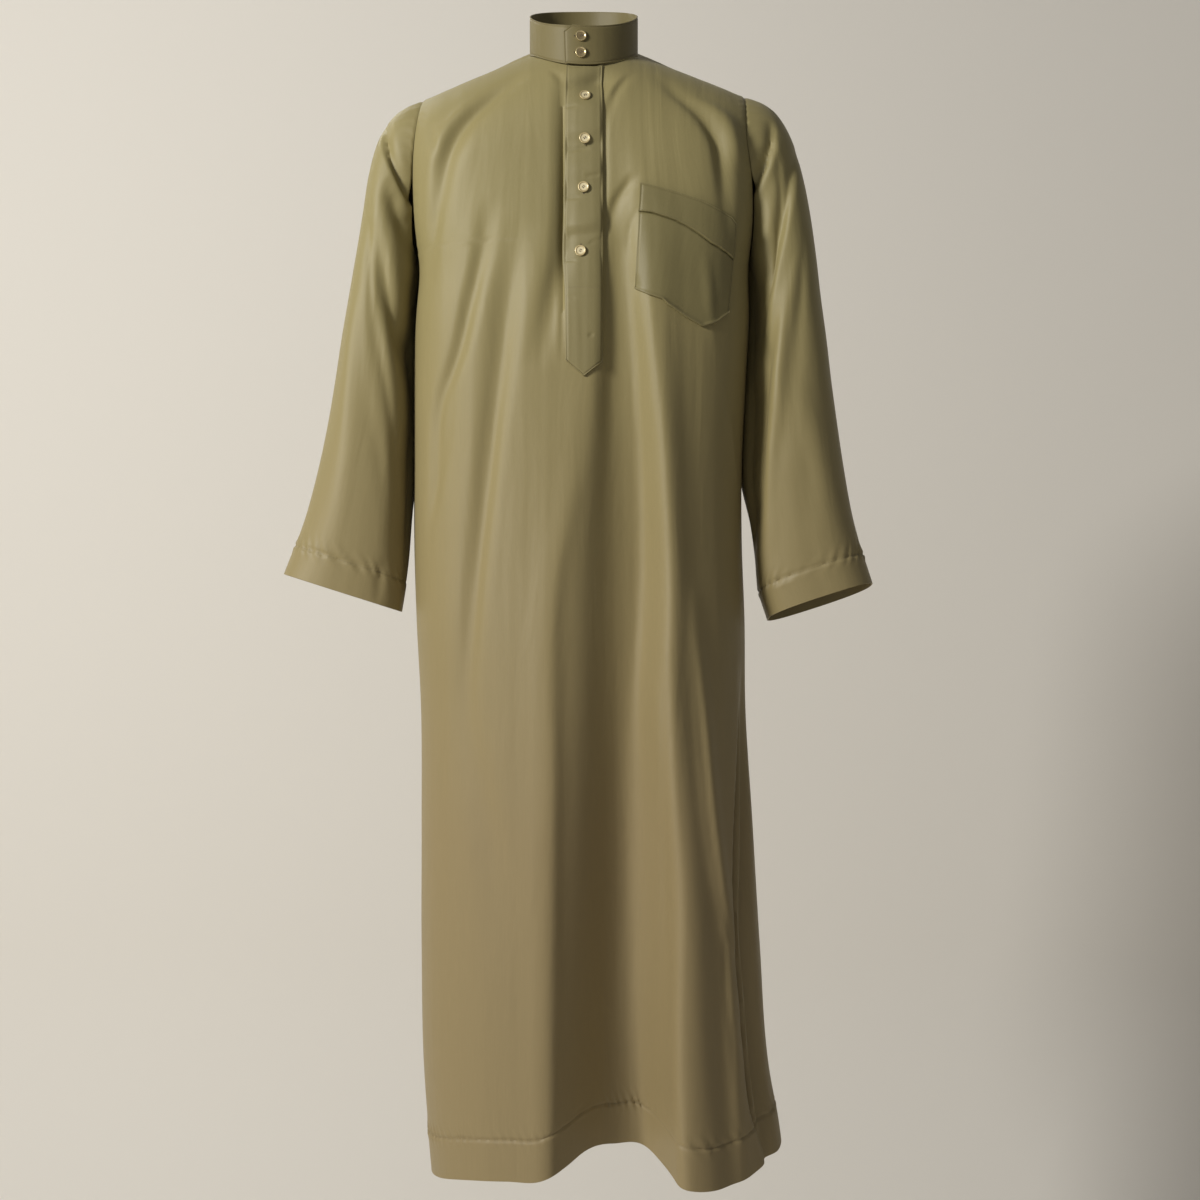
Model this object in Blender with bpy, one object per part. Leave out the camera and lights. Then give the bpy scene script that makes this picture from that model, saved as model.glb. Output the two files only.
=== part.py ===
import math

import bpy
import numpy as np

# Thobe robe at rest, hanging as it is worn. Sizes are millimetres until the meshes are made.
# +Z is up, the front looks along -Y, and the wearer's left is +X.
# The origin is the middle of the neck, level with the neck ends of the shoulder seams.
MM = 0.001
CLOTH_WALL = 1.6
SEAM_GAP = 0.3

# Body sections, from the top down: how far the cloth stands from the middle line at each height.
# height, wearer's right half width, wearer's left half width, front depth, back depth, squareness
BODY_SECTIONS = (
    (-100, 216, 215, 112, 108, 3.6),
    (-160, 214, 213, 116, 110, 3.6),
    (-215, 210, 210, 121, 112, 3.4),
    (-265, 203.85, 203.85, 125, 113, 3.2),
    (-320, 208, 205, 128, 114, 3.0),
    (-400, 211, 201, 130, 115, 2.8),
    (-500, 211, 196.5, 133, 117, 2.6),
    (-600, 211, 196.5, 137, 120, 2.5),
    (-700, 208, 200, 141, 123, 2.5),
    (-800, 203, 201, 145, 127, 2.4),
    (-950, 202, 210, 149, 133, 2.4),
    (-1100, 202, 219, 151, 139, 2.4),
    (-1250, 199, 230, 152, 144, 2.4),
    (-1320, 194, 242, 152, 147, 2.4),
    (-1400, 187, 252, 152, 150, 2.4),
)

# Shoulders, neck ring and armholes
SHOULDER_RIDGE_TOP = 3.5
SHOULDER_FALL = 0.44
SHOULDER_LEFT_EASING = 0.036
SHOULDER_SOFTNESS = 45.0
SHOULDER_SECTION_HEIGHT = -100.0
CAP_HEIGHT_NECK = 132.0
CAP_HEIGHT_LOSS = 42.0
NECK_RADIUS = 67.0
NECK_MIDDLE_Y = -18.0
NECK_RISE_SLOPE = 0.3955
NECK_RISE_EASING = -0.0010
NECK_RISE_REACH = 90.0
SEAM_FORWARD_NECK = 18.0
SEAM_FORWARD_SHOULDER = 15.0
ARMHOLE_X = 204.0
ARMPIT_HEIGHT = -265.0
ARMHOLE_CALM = 14.0
SIDE_CALM = 0.22
ARMPIT_BLEND = 60.0
SIDE_TURN = 90.0
SIDE_SEAM_RADIUS = 200.0

# Hem height round the body: turn in degrees from the middle of the front towards the wearer's left
HEM_HEIGHTS = (
    (-180, -1370),
    (-140, -1372),
    (-105, -1378),
    (-90, -1378),
    (-68, -1374),
    (-50, -1365),
    (-32, -1360),
    (-20, -1358),
    (-8, -1345),
    (0, -1335),
    (15, -1332),
    (32, -1338),
    (40, -1360),
    (46, -1368),
    (58, -1366),
    (72, -1352),
    (90, -1340),
    (115, -1350),
    (145, -1365),
    (180, -1370),
)

# The broad hollow that falls from the placket to the hem between two standing folds
# height, x of right flank, its softness, x of left flank, its softness, depth
FRONT_HOLLOW = (
    (-110, 27, 9, 44, 12, 0),
    (-190, 27, 9, 48, 13, 3),
    (-260, 27, 9, 52, 12, 9),
    (-350, 27, 9, 60, 10, 12),
    (-430, 24, 10, 65, 9, 15),
    (-520, 10, 15, 70, 9, 20),
    (-620, -6, 20, 77, 9, 28),
    (-800, -9, 22, 67, 12, 39),
    (-980, -20, 18, 79, 28, 56),
    (-1180, -25, 17, 86, 32, 70),
    (-1400, -25, 15, 98, 15, 82),
)

# Folds of the front: height, x, depth (outwards is plus), reach to the right, reach to the left
FRONT_FOLDS = {
    "standing_fold": (
        (-130, 60, 0, 18, 24),
        (-255, 68, 5, 20, 24),
        (-330, 74, 7, 18, 24),
        (-434, 84, 10, 14, 22),
        (-553, 91, 11, 13, 22),
        (-696, 96, 12, 13, 22),
        (-791, 95, 12, 14, 24),
        (-886, 103, 13, 14, 26),
        (-1000, 114, 16, 14, 28),
        (-1240, 118, 21, 14, 32),
        (-1400, 128, 26, 15, 34),
    ),
    "hollow_edge": (
        (-500, -20, 0, 26, 12),
        (-640, -48, 4, 26, 12),
        (-900, -54, 7, 28, 12),
        (-1400, -56, 8, 28, 12),
    ),
    "right_chest_drag": (
        (-20, -80, 0, 12, 12),
        (-42, -101, -5, 12, 12),
        (-67, -127, -9, 12, 12),
        (-100, -155, -11, 12, 12),
        (-136, -170, -11, 12, 12),
        (-183, -176, -8, 12, 12),
        (-230, -182, 0, 12, 12),
    ),
    "right_chest_roll": (
        (-50, -122, 0, 12, 12),
        (-86, -155, 4, 12, 12),
        (-125, -177, 5, 12, 12),
        (-170, -186, 3, 12, 12),
        (-215, -190, 0, 12, 12),
    ),
    "left_chest_drag": (
        (-30, 88, 0, 12, 12),
        (-57, 108, -5, 12, 12),
        (-90, 141, -9, 12, 12),
        (-120, 158, -10, 12, 12),
        (-150, 163, -8, 12, 12),
        (-180, 161, 0, 12, 12),
    ),
    "left_chest_roll": (
        (-55, 128, 0, 12, 12),
        (-85, 160, 4, 12, 12),
        (-120, 174, 5, 12, 12),
        (-160, 181, 0, 12, 12),
    ),
    "placket_side_hollow": (
        (-130, -34, 0, 14, 10),
        (-200, -36, -4, 14, 10),
        (-254, -37, -9, 14, 10),
        (-314, -46, -7, 16, 12),
        (-400, -60, 0, 18, 14),
    ),
    "long_trough": (
        (-200, -88, 0, 18, 14),
        (-314, -99, -4, 18, 14),
        (-434, -112, -9, 17, 12),
        (-553, -125, -7, 18, 14),
        (-696, -137, -7, 18, 14),
        (-800, -148, -4, 20, 16),
        (-980, -122, -3, 24, 20),
        (-1120, -112, 0, 24, 20),
    ),
    "slanting_trough": (
        (-190, -118, 0, 12, 14),
        (-255, -127, -4, 12, 14),
        (-314, -141, -5, 12, 14),
        (-374, -156, -5, 12, 14),
        (-434, -180, -3, 14, 12),
        (-480, -190, 0, 14, 12),
    ),
    "left_fold_edge": (
        (-640, 124, 0, 10, 14),
        (-720, 128, 4, 10, 14),
        (-815, 136, 7, 10, 14),
        (-940, 147, 9, 10, 15),
        (-1044, 161, 8, 10, 14),
        (-1110, 176, 0, 10, 12),
    ),
    "left_low_fold": (
        (-1040, 158, 0, 10, 16),
        (-1110, 165, 5, 10, 16),
        (-1200, 170, 7, 10, 16),
        (-1300, 176, 6, 12, 18),
        (-1400, 182, 4, 12, 18),
    ),
    "left_side_trough": (
        (-740, 186, 0, 14, 12),
        (-850, 190, -8, 14, 12),
        (-980, 192, -14, 13, 12),
        (-1070, 192, -16, 13, 13),
        (-1150, 198, -16, 13, 13),
        (-1247, 206, -15, 13, 13),
        (-1320, 216, -12, 13, 13),
        (-1400, 230, -8, 13, 13),
    ),
}

# Folds of the back: the same columns
BACK_FOLDS = {
    "back_middle_fold": (
        (-300, 6, 0, 30, 26),
        (-560, 12, -5, 30, 26),
        (-900, 20, -13, 34, 30),
        (-1400, 26, -22, 38, 32),
    ),
    "back_right_fold": (
        (-250, -66, 0, 28, 28),
        (-520, -72, 6, 28, 28),
        (-900, -80, 9, 30, 30),
        (-1400, -88, 13, 32, 32),
    ),
    "back_right_trough": (
        (-420, -132, 0, 26, 26),
        (-700, -138, -7, 26, 26),
        (-1050, -144, -11, 28, 28),
        (-1400, -146, -14, 30, 30),
    ),
    "back_left_fold": (
        (-330, 84, 0, 28, 28),
        (-640, 90, 7, 28, 28),
        (-1000, 98, 11, 30, 30),
        (-1400, 104, 15, 32, 32),
    ),
    "back_left_trough": (
        (-500, 146, 0, 26, 26),
        (-800, 154, -8, 26, 26),
        (-1100, 164, -11, 28, 28),
        (-1400, 178, -13, 30, 30),
    ),
    "right_blade_drag": (
        (-110, -120, 0, 18, 16),
        (-160, -142, -4, 18, 16),
        (-230, -160, -4, 20, 18),
        (-300, -172, 0, 20, 18),
    ),
    "left_blade_drag": (
        (-100, 126, 0, 18, 16),
        (-150, 146, -5, 18, 16),
        (-220, 162, -5, 20, 18),
        (-290, 170, 0, 20, 18),
    ),
    "waist_drag": (
        (-130, -60, 0, 20, 20),
        (-230, -54, -4, 20, 20),
        (-360, -44, -4, 22, 20),
        (-470, -36, 0, 22, 20),
    ),
}

# How far the standing fold leans over the hollow beside it
FOLD_LEAN = ((-500, 0), (-700, 2), (-900, 6), (-1100, 10), (-1400, 17))
FOLD_LEAN_REACH = 22.0

# Sleeves, from the shoulder to the wrist: the outer line, the inner line and the depth.
# outer x, outer height, inner x, inner height, middle y, half depth, how far the back hangs lower
RIGHT_SLEEVE = (
    (204.15, -50, 204.15, -265, 0, 70, 0),
    (221, -57, 206.2, -272, 0, 70, 0),
    (239, -72, 208.8, -285, 0, 70, 0),
    (256, -102, 211.8, -303, 0, 70, 0),
    (267, -145, 213.6, -328, -1, 70, 0.02),
    (274, -192, 214.2, -358, -2, 70, 0.03),
    (282, -242, 214.4, -392, -4, 70, 0.04),
    (291, -295, 214.4, -428, -6, 69, 0.05),
    (300, -348, 214.4, -466, -8, 67, 0.06),
    (308, -402, 214.4, -504, -10, 64, 0.07),
    (317, -456, 214.4, -542, -12, 61, 0.08),
    (329, -512, 214.8, -580, -13, 58, 0.10),
    (344, -568, 217.0, -618, -14, 55, 0.12),
    (359, -610, 221.5, -654, -15, 52, 0.14),
    (371, -641, 227.0, -687, -16, 50, 0.15),
)
LEFT_SLEEVE = (
    (204.15, -50, 204.15, -265, 0, 70, 0),
    (223, -55, 206.2, -272, 0, 70, 0),
    (242, -70, 208.4, -285, 0, 70, 0),
    (259, -101, 209.6, -303, 0, 70, 0),
    (272, -147, 209.2, -328, -1, 70, 0.02),
    (281, -194, 208.0, -360, -2, 70, 0.03),
    (288, -244, 206.6, -396, -4, 70, 0.04),
    (294, -297, 205.0, -434, -6, 69, 0.05),
    (301, -350, 203.4, -472, -8, 67, 0.06),
    (307, -403, 201.8, -508, -10, 64, 0.07),
    (314, -456, 203.0, -544, -12, 61, 0.08),
    (322, -510, 207.5, -580, -13, 58, 0.10),
    (332, -566, 212.0, -618, -14, 55, 0.12),
    (344, -612, 216.0, -656, -15, 52, 0.14),
    (357, -654, 228.5, -696, -16, 50, 0.15),
)
SLEEVE_ROUNDNESS = 2.2
ARMHOLE_BLEND_RINGS = 5

# Sleeve folds: share of the length, turn from the outer line over the front in degrees, depth, reach
RIGHT_SLEEVE_FOLDS = {
    "elbow_trough": (
        (0.28, 40, 0, 15),
        (0.38, 62, -5, 15),
        (0.50, 92, -7, 15),
        (0.62, 122, -5, 16),
        (0.78, 138, -3, 16),
        (0.95, 140, 0, 16),
    ),
    "front_roll": (
        (0.40, 40, 0, 20),
        (0.62, 62, 4, 20),
        (0.80, 74, 5, 20),
        (1.0, 80, 2, 20),
    ),
    "back_trough": (
        (0.25, 300, 0, 18),
        (0.50, 285, -5, 18),
        (0.75, 262, -5, 18),
        (1.0, 250, -2, 18),
    ),
}
LEFT_SLEEVE_FOLDS = {
    "cap_trough": (
        (0.12, 60, 0, 11),
        (0.22, 84, -5, 11),
        (0.32, 112, -6, 12),
        (0.44, 140, 0, 13),
    ),
    "long_front_trough": (
        (0.34, 52, 0, 13),
        (0.48, 78, -5, 13),
        (0.62, 96, -6, 13),
        (0.78, 118, -6, 14),
        (0.95, 124, -2, 15),
    ),
    "front_roll": (
        (0.36, 80, 0, 14),
        (0.52, 104, 4, 14),
        (0.70, 76, 3, 20),
        (1.0, 72, 2, 20),
    ),
    "back_trough": (
        (0.20, 290, 0, 18),
        (0.45, 275, -5, 18),
        (0.70, 268, -5, 18),
        (1.0, 255, -2, 18),
    ),
}

# Placket, pocket and collar
PLACKET_RIGHT_X = -21.0
PLACKET_LEFT_X = 23.0
PLACKET_SIDE_END = -388.0
PLACKET_POINT_END = -407.0
PLACKET_WALL = 1.5
PLACKET_TOP_DROP = 3.0
POCKET_TOP = ((67.5, -175), (105, -184), (142, -194.5), (177, -210.5), (183, -219.5))
POCKET_BOTTOM = ((63, -302), (78, -312), (110, -327), (142, -346), (174, -327))
POCKET_SHARES = (0.0, 0.25, 0.52, 0.86, 1.0)
POCKET_WALL = 1.4
POCKET_GAP = 0.9
POCKET_BAND_SHARE = 0.27
POCKET_BAND_RAISE = 0.7
POCKET_ROW_SHARES = (0.0, 0.13, 0.27, 0.29, 0.43, 0.57, 0.71, 0.86, 1.0)
POCKET_COLUMNS = 15
COLLAR_TOP_SIDE = 52.0
COLLAR_TOP_TILT = 26.75
COLLAR_TOP_ROUND = 3.75
COLLAR_WALL = 2.0
COLLAR_SEAT = 0.5
COLLAR_LEAN = 4.0
COLLAR_UNDER_END = 17.0
COLLAR_LAP_END = -378.0
COLLAR_LAP_START = 285.0
COLLAR_LAP_SPREAD = 45.0
COLLAR_LAP_LIFT = 2.6
COLLAR_CLIP = 4.5
COLLAR_CLIP_TURN = 5.0
COLLAR_COLUMNS = 53

# Buttons: radius and height of each ring of a button, from its back over its rim to its dish
BUTTON_PROFILE = ((4.6, 0), (6.5, 0.5), (6.75, 1.5), (6.0, 2.3), (4.9, 2.2), (4.3, 1.6))
BUTTON_STEPS = 14
BUTTON_SEAT = 0.4
PLACKET_BUTTONS = (-68, -121, -180, -257)
PLACKET_BUTTON_X = (2.0, 2.0, 0.5, -3.0)
COLLAR_BUTTON_SHARES = (0.72, 0.30)
COLLAR_BUTTON_TURN = -362.3

# Grid sizes
SKIRT_ROWS = 21
HEM_TURN_HEIGHT = -1300.0
TOP_START = -20.0
TOP_PASSES = 6
CHEST_HEIGHTS = (-407.0, -388.0, -360.0, -328.0, -296.0)
UPPER_ROWS = 12
FRONT_SIDE_COLUMNS = 17
NECK_SIDE_COLUMNS = 6
PLACKET_COLUMNS = 5
FRONT_MIDDLE_COLUMNS = 2 * (NECK_SIDE_COLUMNS - 1) + PLACKET_COLUMNS
BACK_SIDE_COLUMNS = 9
BACK_NECK_COLUMNS = 11
NECK_COLUMNS_EVEN = -130.0
SLEEVE_COLUMNS = 26
ARMHOLE_STEPS = 90
NORMAL_STEP = 0.5
NORMAL_TURN = 0.05
RING_INSIDE = 0.99999
TINY = 1e-6


def along(table, column, at):
    """Value of one column of a table at a place in its first column, on a smooth curve."""
    rows = np.array(table, float)
    if rows[0, 0] > rows[-1, 0]:
        rows = rows[::-1]
    places = rows[:, 0]
    values = rows[:, column]
    slopes = np.gradient(values, places)
    at = np.clip(at, places[0], places[-1])
    after = np.clip(np.searchsorted(places, at), 1, len(places) - 1)
    before = after - 1
    span = places[after] - places[before]
    share = (at - places[before]) / span
    start_weight = (1 + 2 * share) * (1 - share) ** 2
    end_weight = share**2 * (3 - 2 * share)
    start_slope = share * (1 - share) ** 2 * span
    end_slope = share**2 * (share - 1) * span
    curve = start_weight * values[before] + end_weight * values[after]
    return curve + start_slope * slopes[before] + end_slope * slopes[after]


def ease(share):
    share = np.clip(share, 0, 1)
    return share * share * (3 - 2 * share)


def section_sizes(climb, to_left):
    climb = np.minimum(climb, SHOULDER_SECTION_HEIGHT)
    right = along(BODY_SECTIONS, 1, climb)
    left = along(BODY_SECTIONS, 2, climb)
    half_width = np.where(to_left, left, right)
    front = along(BODY_SECTIONS, 3, climb)
    back = along(BODY_SECTIONS, 4, climb)
    return half_width, front, back, along(BODY_SECTIONS, 5, climb)


def depth_share(x, half_width, squareness):
    reach = np.clip(np.abs(x) / half_width, 0, 1)
    return (1 - reach**squareness) ** (1 / squareness)


def turn_at(x, climb, front=True):
    """Turn in degrees of the place at x on the front or the back of a body section."""
    half_width, front_depth, back_depth, squareness = section_sizes(climb, x > 0)
    share = depth_share(x, half_width, squareness)
    depth = front_depth if front else -back_depth
    return np.degrees(np.arctan2(x, depth * share))


def neck_rise(points):
    """How far the cloth round the back of the neck climbs above the level of the sides."""
    behind = np.clip(points[..., 1] - NECK_MIDDLE_Y, 0, NECK_RADIUS)
    rise = NECK_RISE_SLOPE * behind + NECK_RISE_EASING * behind**2
    outside = np.hypot(points[..., 0], points[..., 1] - NECK_MIDDLE_Y) - NECK_RADIUS
    return rise * (1 - ease(outside / NECK_RISE_REACH))


def shoulder_ridge(x):
    """Height of the top of the shoulders, which fall a little less on the wearer's left."""
    soft = np.hypot(x, SHOULDER_SOFTNESS) - math.hypot(NECK_RADIUS, SHOULDER_SOFTNESS)
    fall = SHOULDER_FALL - SHOULDER_LEFT_EASING * ease(x / NECK_RADIUS)
    return SHOULDER_RIDGE_TOP - fall * soft


def cap_height(x):
    return CAP_HEIGHT_NECK - CAP_HEIGHT_LOSS * (x / ARMHOLE_X) ** 2


def edge_y(x, front):
    """y of the top edge of a panel: the neck ring, then the shoulder seam."""
    inside = np.clip(1 - (x / NECK_RADIUS) ** 2, 0, None)
    ring = NECK_MIDDLE_Y + (-1 if front else 1) * NECK_RADIUS * np.sqrt(inside)
    out = np.clip((np.abs(x) - NECK_RADIUS) / (ARMHOLE_X - NECK_RADIUS), 0, 1)
    seam = -SEAM_FORWARD_NECK + (SEAM_FORWARD_NECK - SEAM_FORWARD_SHOULDER) * out
    seam = seam + (-1 if front else 1) * SEAM_GAP / 2
    return np.where(np.abs(x) < NECK_RADIUS, ring, seam)


def cap_of(x, front):
    """Start height, height and top angle of the rounded cap over the shoulder at x."""
    x = np.clip(x, -ARMHOLE_X, ARMHOLE_X)
    start = shoulder_ridge(x) - cap_height(x)
    sizes = section_sizes(np.full_like(x, SHOULDER_SECTION_HEIGHT), x > 0)
    share = depth_share(x, sizes[0], sizes[3])
    y = edge_y(x, front)
    own_depth = (sizes[1] if front else sizes[2]) * share
    other_depth = (sizes[2] if front else sizes[1]) * share
    crosses = y > 0 if front else y < 0
    depth = np.where(crosses, other_depth, own_depth)
    angle = np.arccos(np.clip(np.abs(y) / depth, 0, 1))
    top_angle = np.where(crosses, math.pi - angle, angle)
    return start, cap_height(x), top_angle


def plain_body(turn, climb, front):
    """Points of the body before its folds. climb is the height, then the way over the shoulder cap."""
    radians = np.radians(turn)
    half_width, front_depth, back_depth, squareness = section_sizes(
        climb, np.sin(radians) > 0
    )
    ahead = np.cos(radians) > 0
    depth = np.where(ahead, front_depth, back_depth)
    wide = (np.abs(np.sin(radians)) / half_width) ** squareness
    deep = (np.abs(np.cos(radians)) / depth) ** squareness
    radius = (wide + deep) ** (-1 / squareness)
    x = radius * np.sin(radians)
    y = -radius * np.cos(radians)
    start, height, _ = cap_of(x, front)
    angle = np.clip((climb - start) / height, 0, None)
    over = angle > math.pi / 2
    ratio = np.where(front, back_depth / front_depth, front_depth / back_depth)
    y = y * np.cos(angle) * np.where(over, ratio, 1)
    z = np.where(angle > 0, start + height * np.sin(angle), climb)
    points = np.stack([x, y, z], axis=-1)
    if not front:
        points[..., 2] += neck_rise(points)
    return points


def fold_push(folds, turn, climb, front):
    """How far the folds push the cloth out at a place."""
    push = np.zeros_like(turn)
    base = plain_body(turn, np.minimum(climb, ARMPIT_HEIGHT), front)
    radius = np.hypot(base[..., 0], base[..., 1])
    for rows in folds.values():
        fold_x = along(rows, 1, climb)
        depth = along(rows, 2, climb)
        away = turn - turn_at(fold_x, climb, front)
        away = np.radians((away + 180) % 360 - 180) * radius
        if not front:
            away = -away
        reach = np.where(away < 0, along(rows, 3, climb), along(rows, 4, climb))
        inside = (climb <= rows[0][0]) & (climb >= rows[-1][0])
        push += np.where(inside, depth * np.exp(-((away / reach) ** 2)), 0)
    return push


def hollow_push(x, climb):
    right_flank = (x - along(FRONT_HOLLOW, 1, climb)) / along(FRONT_HOLLOW, 2, climb)
    left_flank = (along(FRONT_HOLLOW, 3, climb) - x) / along(FRONT_HOLLOW, 4, climb)
    share = (1 + np.tanh(right_flank)) * (1 + np.tanh(left_flank)) / 4
    depth = np.where(climb < FRONT_HOLLOW[0][0], along(FRONT_HOLLOW, 5, climb), 0)
    return -depth * share


def calm(points, turn, climb):
    """1 in the open cloth, 0 at the armhole and side seams, so that both edges of a seam meet."""
    upper = ease((ARMHOLE_X - np.abs(points[..., 0])) / ARMHOLE_CALM)
    lower = ease(np.abs(np.cos(np.radians(turn))) / SIDE_CALM)
    share = ease((climb - ARMPIT_HEIGHT) / ARMPIT_BLEND + 1)
    return upper * share + lower * (1 - share)


def body_slopes(place, turn, climb, front):
    """Unit outward normal of a surface, from small steps round it and up it."""
    round_step = place(turn + NORMAL_TURN, climb, front)
    round_step = round_step - place(turn - NORMAL_TURN, climb, front)
    up_step = place(turn, climb + NORMAL_STEP, front)
    up_step = up_step - place(turn, climb - NORMAL_STEP, front)
    normal = np.cross(round_step, up_step)
    return normal / np.linalg.norm(normal, axis=-1, keepdims=True)


def body(turn, climb, front):
    """Points of the outside of the front or the back with its folds."""
    turn = np.asarray(turn, float)
    climb = np.asarray(climb, float)
    points = plain_body(turn, climb, front)
    normal = body_slopes(plain_body, turn, climb, front)
    folds = FRONT_FOLDS if front else BACK_FOLDS
    push = fold_push(folds, turn, climb, front)
    if front:
        push = push + hollow_push(points[..., 0], climb)
    push = push * calm(points, turn, climb)
    points = points + normal * push[..., None]
    if front:
        crest = along(FRONT_FOLDS["standing_fold"], 1, climb)
        near = np.exp(-(((points[..., 0] - crest) / FOLD_LEAN_REACH) ** 2))
        lean = along(FOLD_LEAN, 1, climb) * near
        points = points - lean[..., None] * np.array([1.0, 0.0, 0.0])
    return points


def body_wall(turn, climb, front, wall=CLOTH_WALL, lift=0.0):
    """Outer and inner points of cloth on the body surface, raised off it by lift."""
    points = body(turn, climb, front)
    normal = body_slopes(body, turn, climb, front)
    return points + normal * (lift + wall), points + normal * lift, normal


def edge_turn(climb, to_left, front):
    """Turn of the panel's side edge: the side seam, and above the armpit the armhole."""
    sign = np.where(to_left, 1, -1)
    seam = np.degrees(SEAM_GAP / 2 / SIDE_SEAM_RADIUS) * (-1 if front else 1)
    half_width = section_sizes(climb, to_left)[0]
    edge_x = np.minimum(ARMHOLE_X - SEAM_GAP / 2, half_width)
    armhole = np.abs(turn_at(sign * edge_x, climb, front))
    side = SIDE_TURN + seam
    limit = np.minimum if front else np.maximum
    return sign * np.where(climb > ARMPIT_HEIGHT, limit(armhole, side), side)


def ring_height(turns):
    """Height of the neck ring at each turn round the neck."""
    radians = np.radians(turns)
    x = NECK_RADIUS * np.sin(radians) * RING_INSIDE
    heights = []
    for front in (True, False):
        start, height, top_angle = cap_of(x, front)
        points = np.stack([x, edge_y(x, front), start + height * np.sin(top_angle)], -1)
        heights.append(points[:, 2] if front else points[:, 2] + neck_rise(points))
    return np.where(np.cos(radians) > 0, heights[0], heights[1])


def top_climb(x, front):
    start, height, top_angle = cap_of(x, front)
    return start + height * top_angle


def row_climbs(columns, hem, top):
    """Climb of each row and column, from the hem up."""
    rows = []
    for step in range(SKIRT_ROWS):
        rows.append(hem + (CHEST_HEIGHTS[0] - hem) * step / SKIRT_ROWS)
    for height in CHEST_HEIGHTS:
        rows.append(np.full(columns, height))
    for step in range(UPPER_ROWS + 1):
        rows.append(ARMPIT_HEIGHT + (top - ARMPIT_HEIGHT) * step / UPPER_ROWS)
    return np.array(rows)


def neck_columns(from_turn, to_turn, count, climb):
    """x of columns that meet the neck ring in even turns and run down evenly spaced."""
    turns = np.radians(np.linspace(from_turn, to_turn, count))
    ring_x = NECK_RADIUS * np.sin(turns)
    even_x = np.linspace(ring_x[0], ring_x[-1], count)
    rows = climb.shape[:-1]
    high = ease((climb - NECK_COLUMNS_EVEN) / -NECK_COLUMNS_EVEN)
    return np.broadcast_to(even_x, (*rows, count)) * (1 - high) + ring_x * high


def front_turns(climb):
    """Turn of every column of the front: set x across the middle, then even steps to each side."""
    right_turn = -math.degrees(math.asin(PLACKET_RIGHT_X / -NECK_RADIUS))
    left_turn = math.degrees(math.asin(PLACKET_LEFT_X / NECK_RADIUS))
    sides = FRONT_SIDE_COLUMNS
    count = NECK_SIDE_COLUMNS
    last = sides + FRONT_MIDDLE_COLUMNS
    right = neck_columns(-SIDE_TURN, right_turn, count, climb[..., sides : sides + count])
    left = neck_columns(left_turn, SIDE_TURN, count, climb[..., last - count : last])
    placket = np.linspace(PLACKET_RIGHT_X, PLACKET_LEFT_X, PLACKET_COLUMNS)
    placket = placket + 0 * climb[..., :PLACKET_COLUMNS]
    middle = [right[..., :-1], placket, left[..., 1:]]
    side = np.arange(1, sides + 1) / sides
    flat = 0 * climb[..., :sides]
    x = np.concatenate([flat - NECK_RADIUS, *middle, flat + NECK_RADIUS], axis=-1)
    share = np.concatenate([side[::-1], np.zeros(FRONT_MIDDLE_COLUMNS), side])
    base = turn_at(x, climb)
    edge = edge_turn(climb, x > 0, True)
    return base + (edge - base) * share


def back_turns(climb):
    """Turn of every column of the back, from the wearer's left round to the right."""
    sides = BACK_SIDE_COLUMNS
    count = BACK_NECK_COLUMNS
    side = np.arange(1, sides + 1) / sides
    flat = 0 * climb[..., :sides]
    middle = neck_columns(SIDE_TURN, -SIDE_TURN, count, climb[..., sides : sides + count])
    x = np.concatenate([flat + NECK_RADIUS, middle, flat - NECK_RADIUS], axis=-1)
    share = np.concatenate([side[::-1], np.zeros(count), side])
    base = turn_at(x, climb, False) % 360
    to_left = np.broadcast_to(np.arange(x.shape[-1]) < x.shape[-1] // 2, x.shape)
    edge = edge_turn(climb, to_left, False) + np.where(to_left, 0, 360)
    return base + (edge - base) * share


def panel_grid(front):
    """Turn and climb of every grid point of a panel."""
    turns = front_turns if front else back_turns
    count = 2 * BACK_SIDE_COLUMNS + BACK_NECK_COLUMNS
    if front:
        count = 2 * FRONT_SIDE_COLUMNS + FRONT_MIDDLE_COLUMNS
    hem_turn = turns(np.full(count, HEM_TURN_HEIGHT))
    hem = along(HEM_HEIGHTS, 1, (hem_turn + 180) % 360 - 180)
    top = np.full(count, TOP_START)
    for _ in range(TOP_PASSES):
        x = plain_body(turns(top), top, front)[:, 0]
        top = top_climb(x, front)
    climb = row_climbs(count, hem, top)
    return turns(climb), climb


def cloth_material(name, colour, metallic, roughness):
    material = bpy.data.materials.new(name)
    material.use_nodes = True
    shader = material.node_tree.nodes["Principled BSDF"]
    shader.inputs["Base Color"].default_value = (*colour, 1)
    shader.inputs["Metallic"].default_value = metallic
    shader.inputs["Roughness"].default_value = roughness
    return material


def add_object(name, points, faces, material):
    mesh = bpy.data.meshes.new(name)
    mesh.from_pydata([tuple(p * MM) for p in points], [], faces)
    mesh.update()
    thing = bpy.data.objects.new(name, mesh)
    bpy.context.scene.collection.objects.link(thing)
    mesh.materials.append(material)
    for face in mesh.polygons:
        face.use_smooth = True
    return thing


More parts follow.
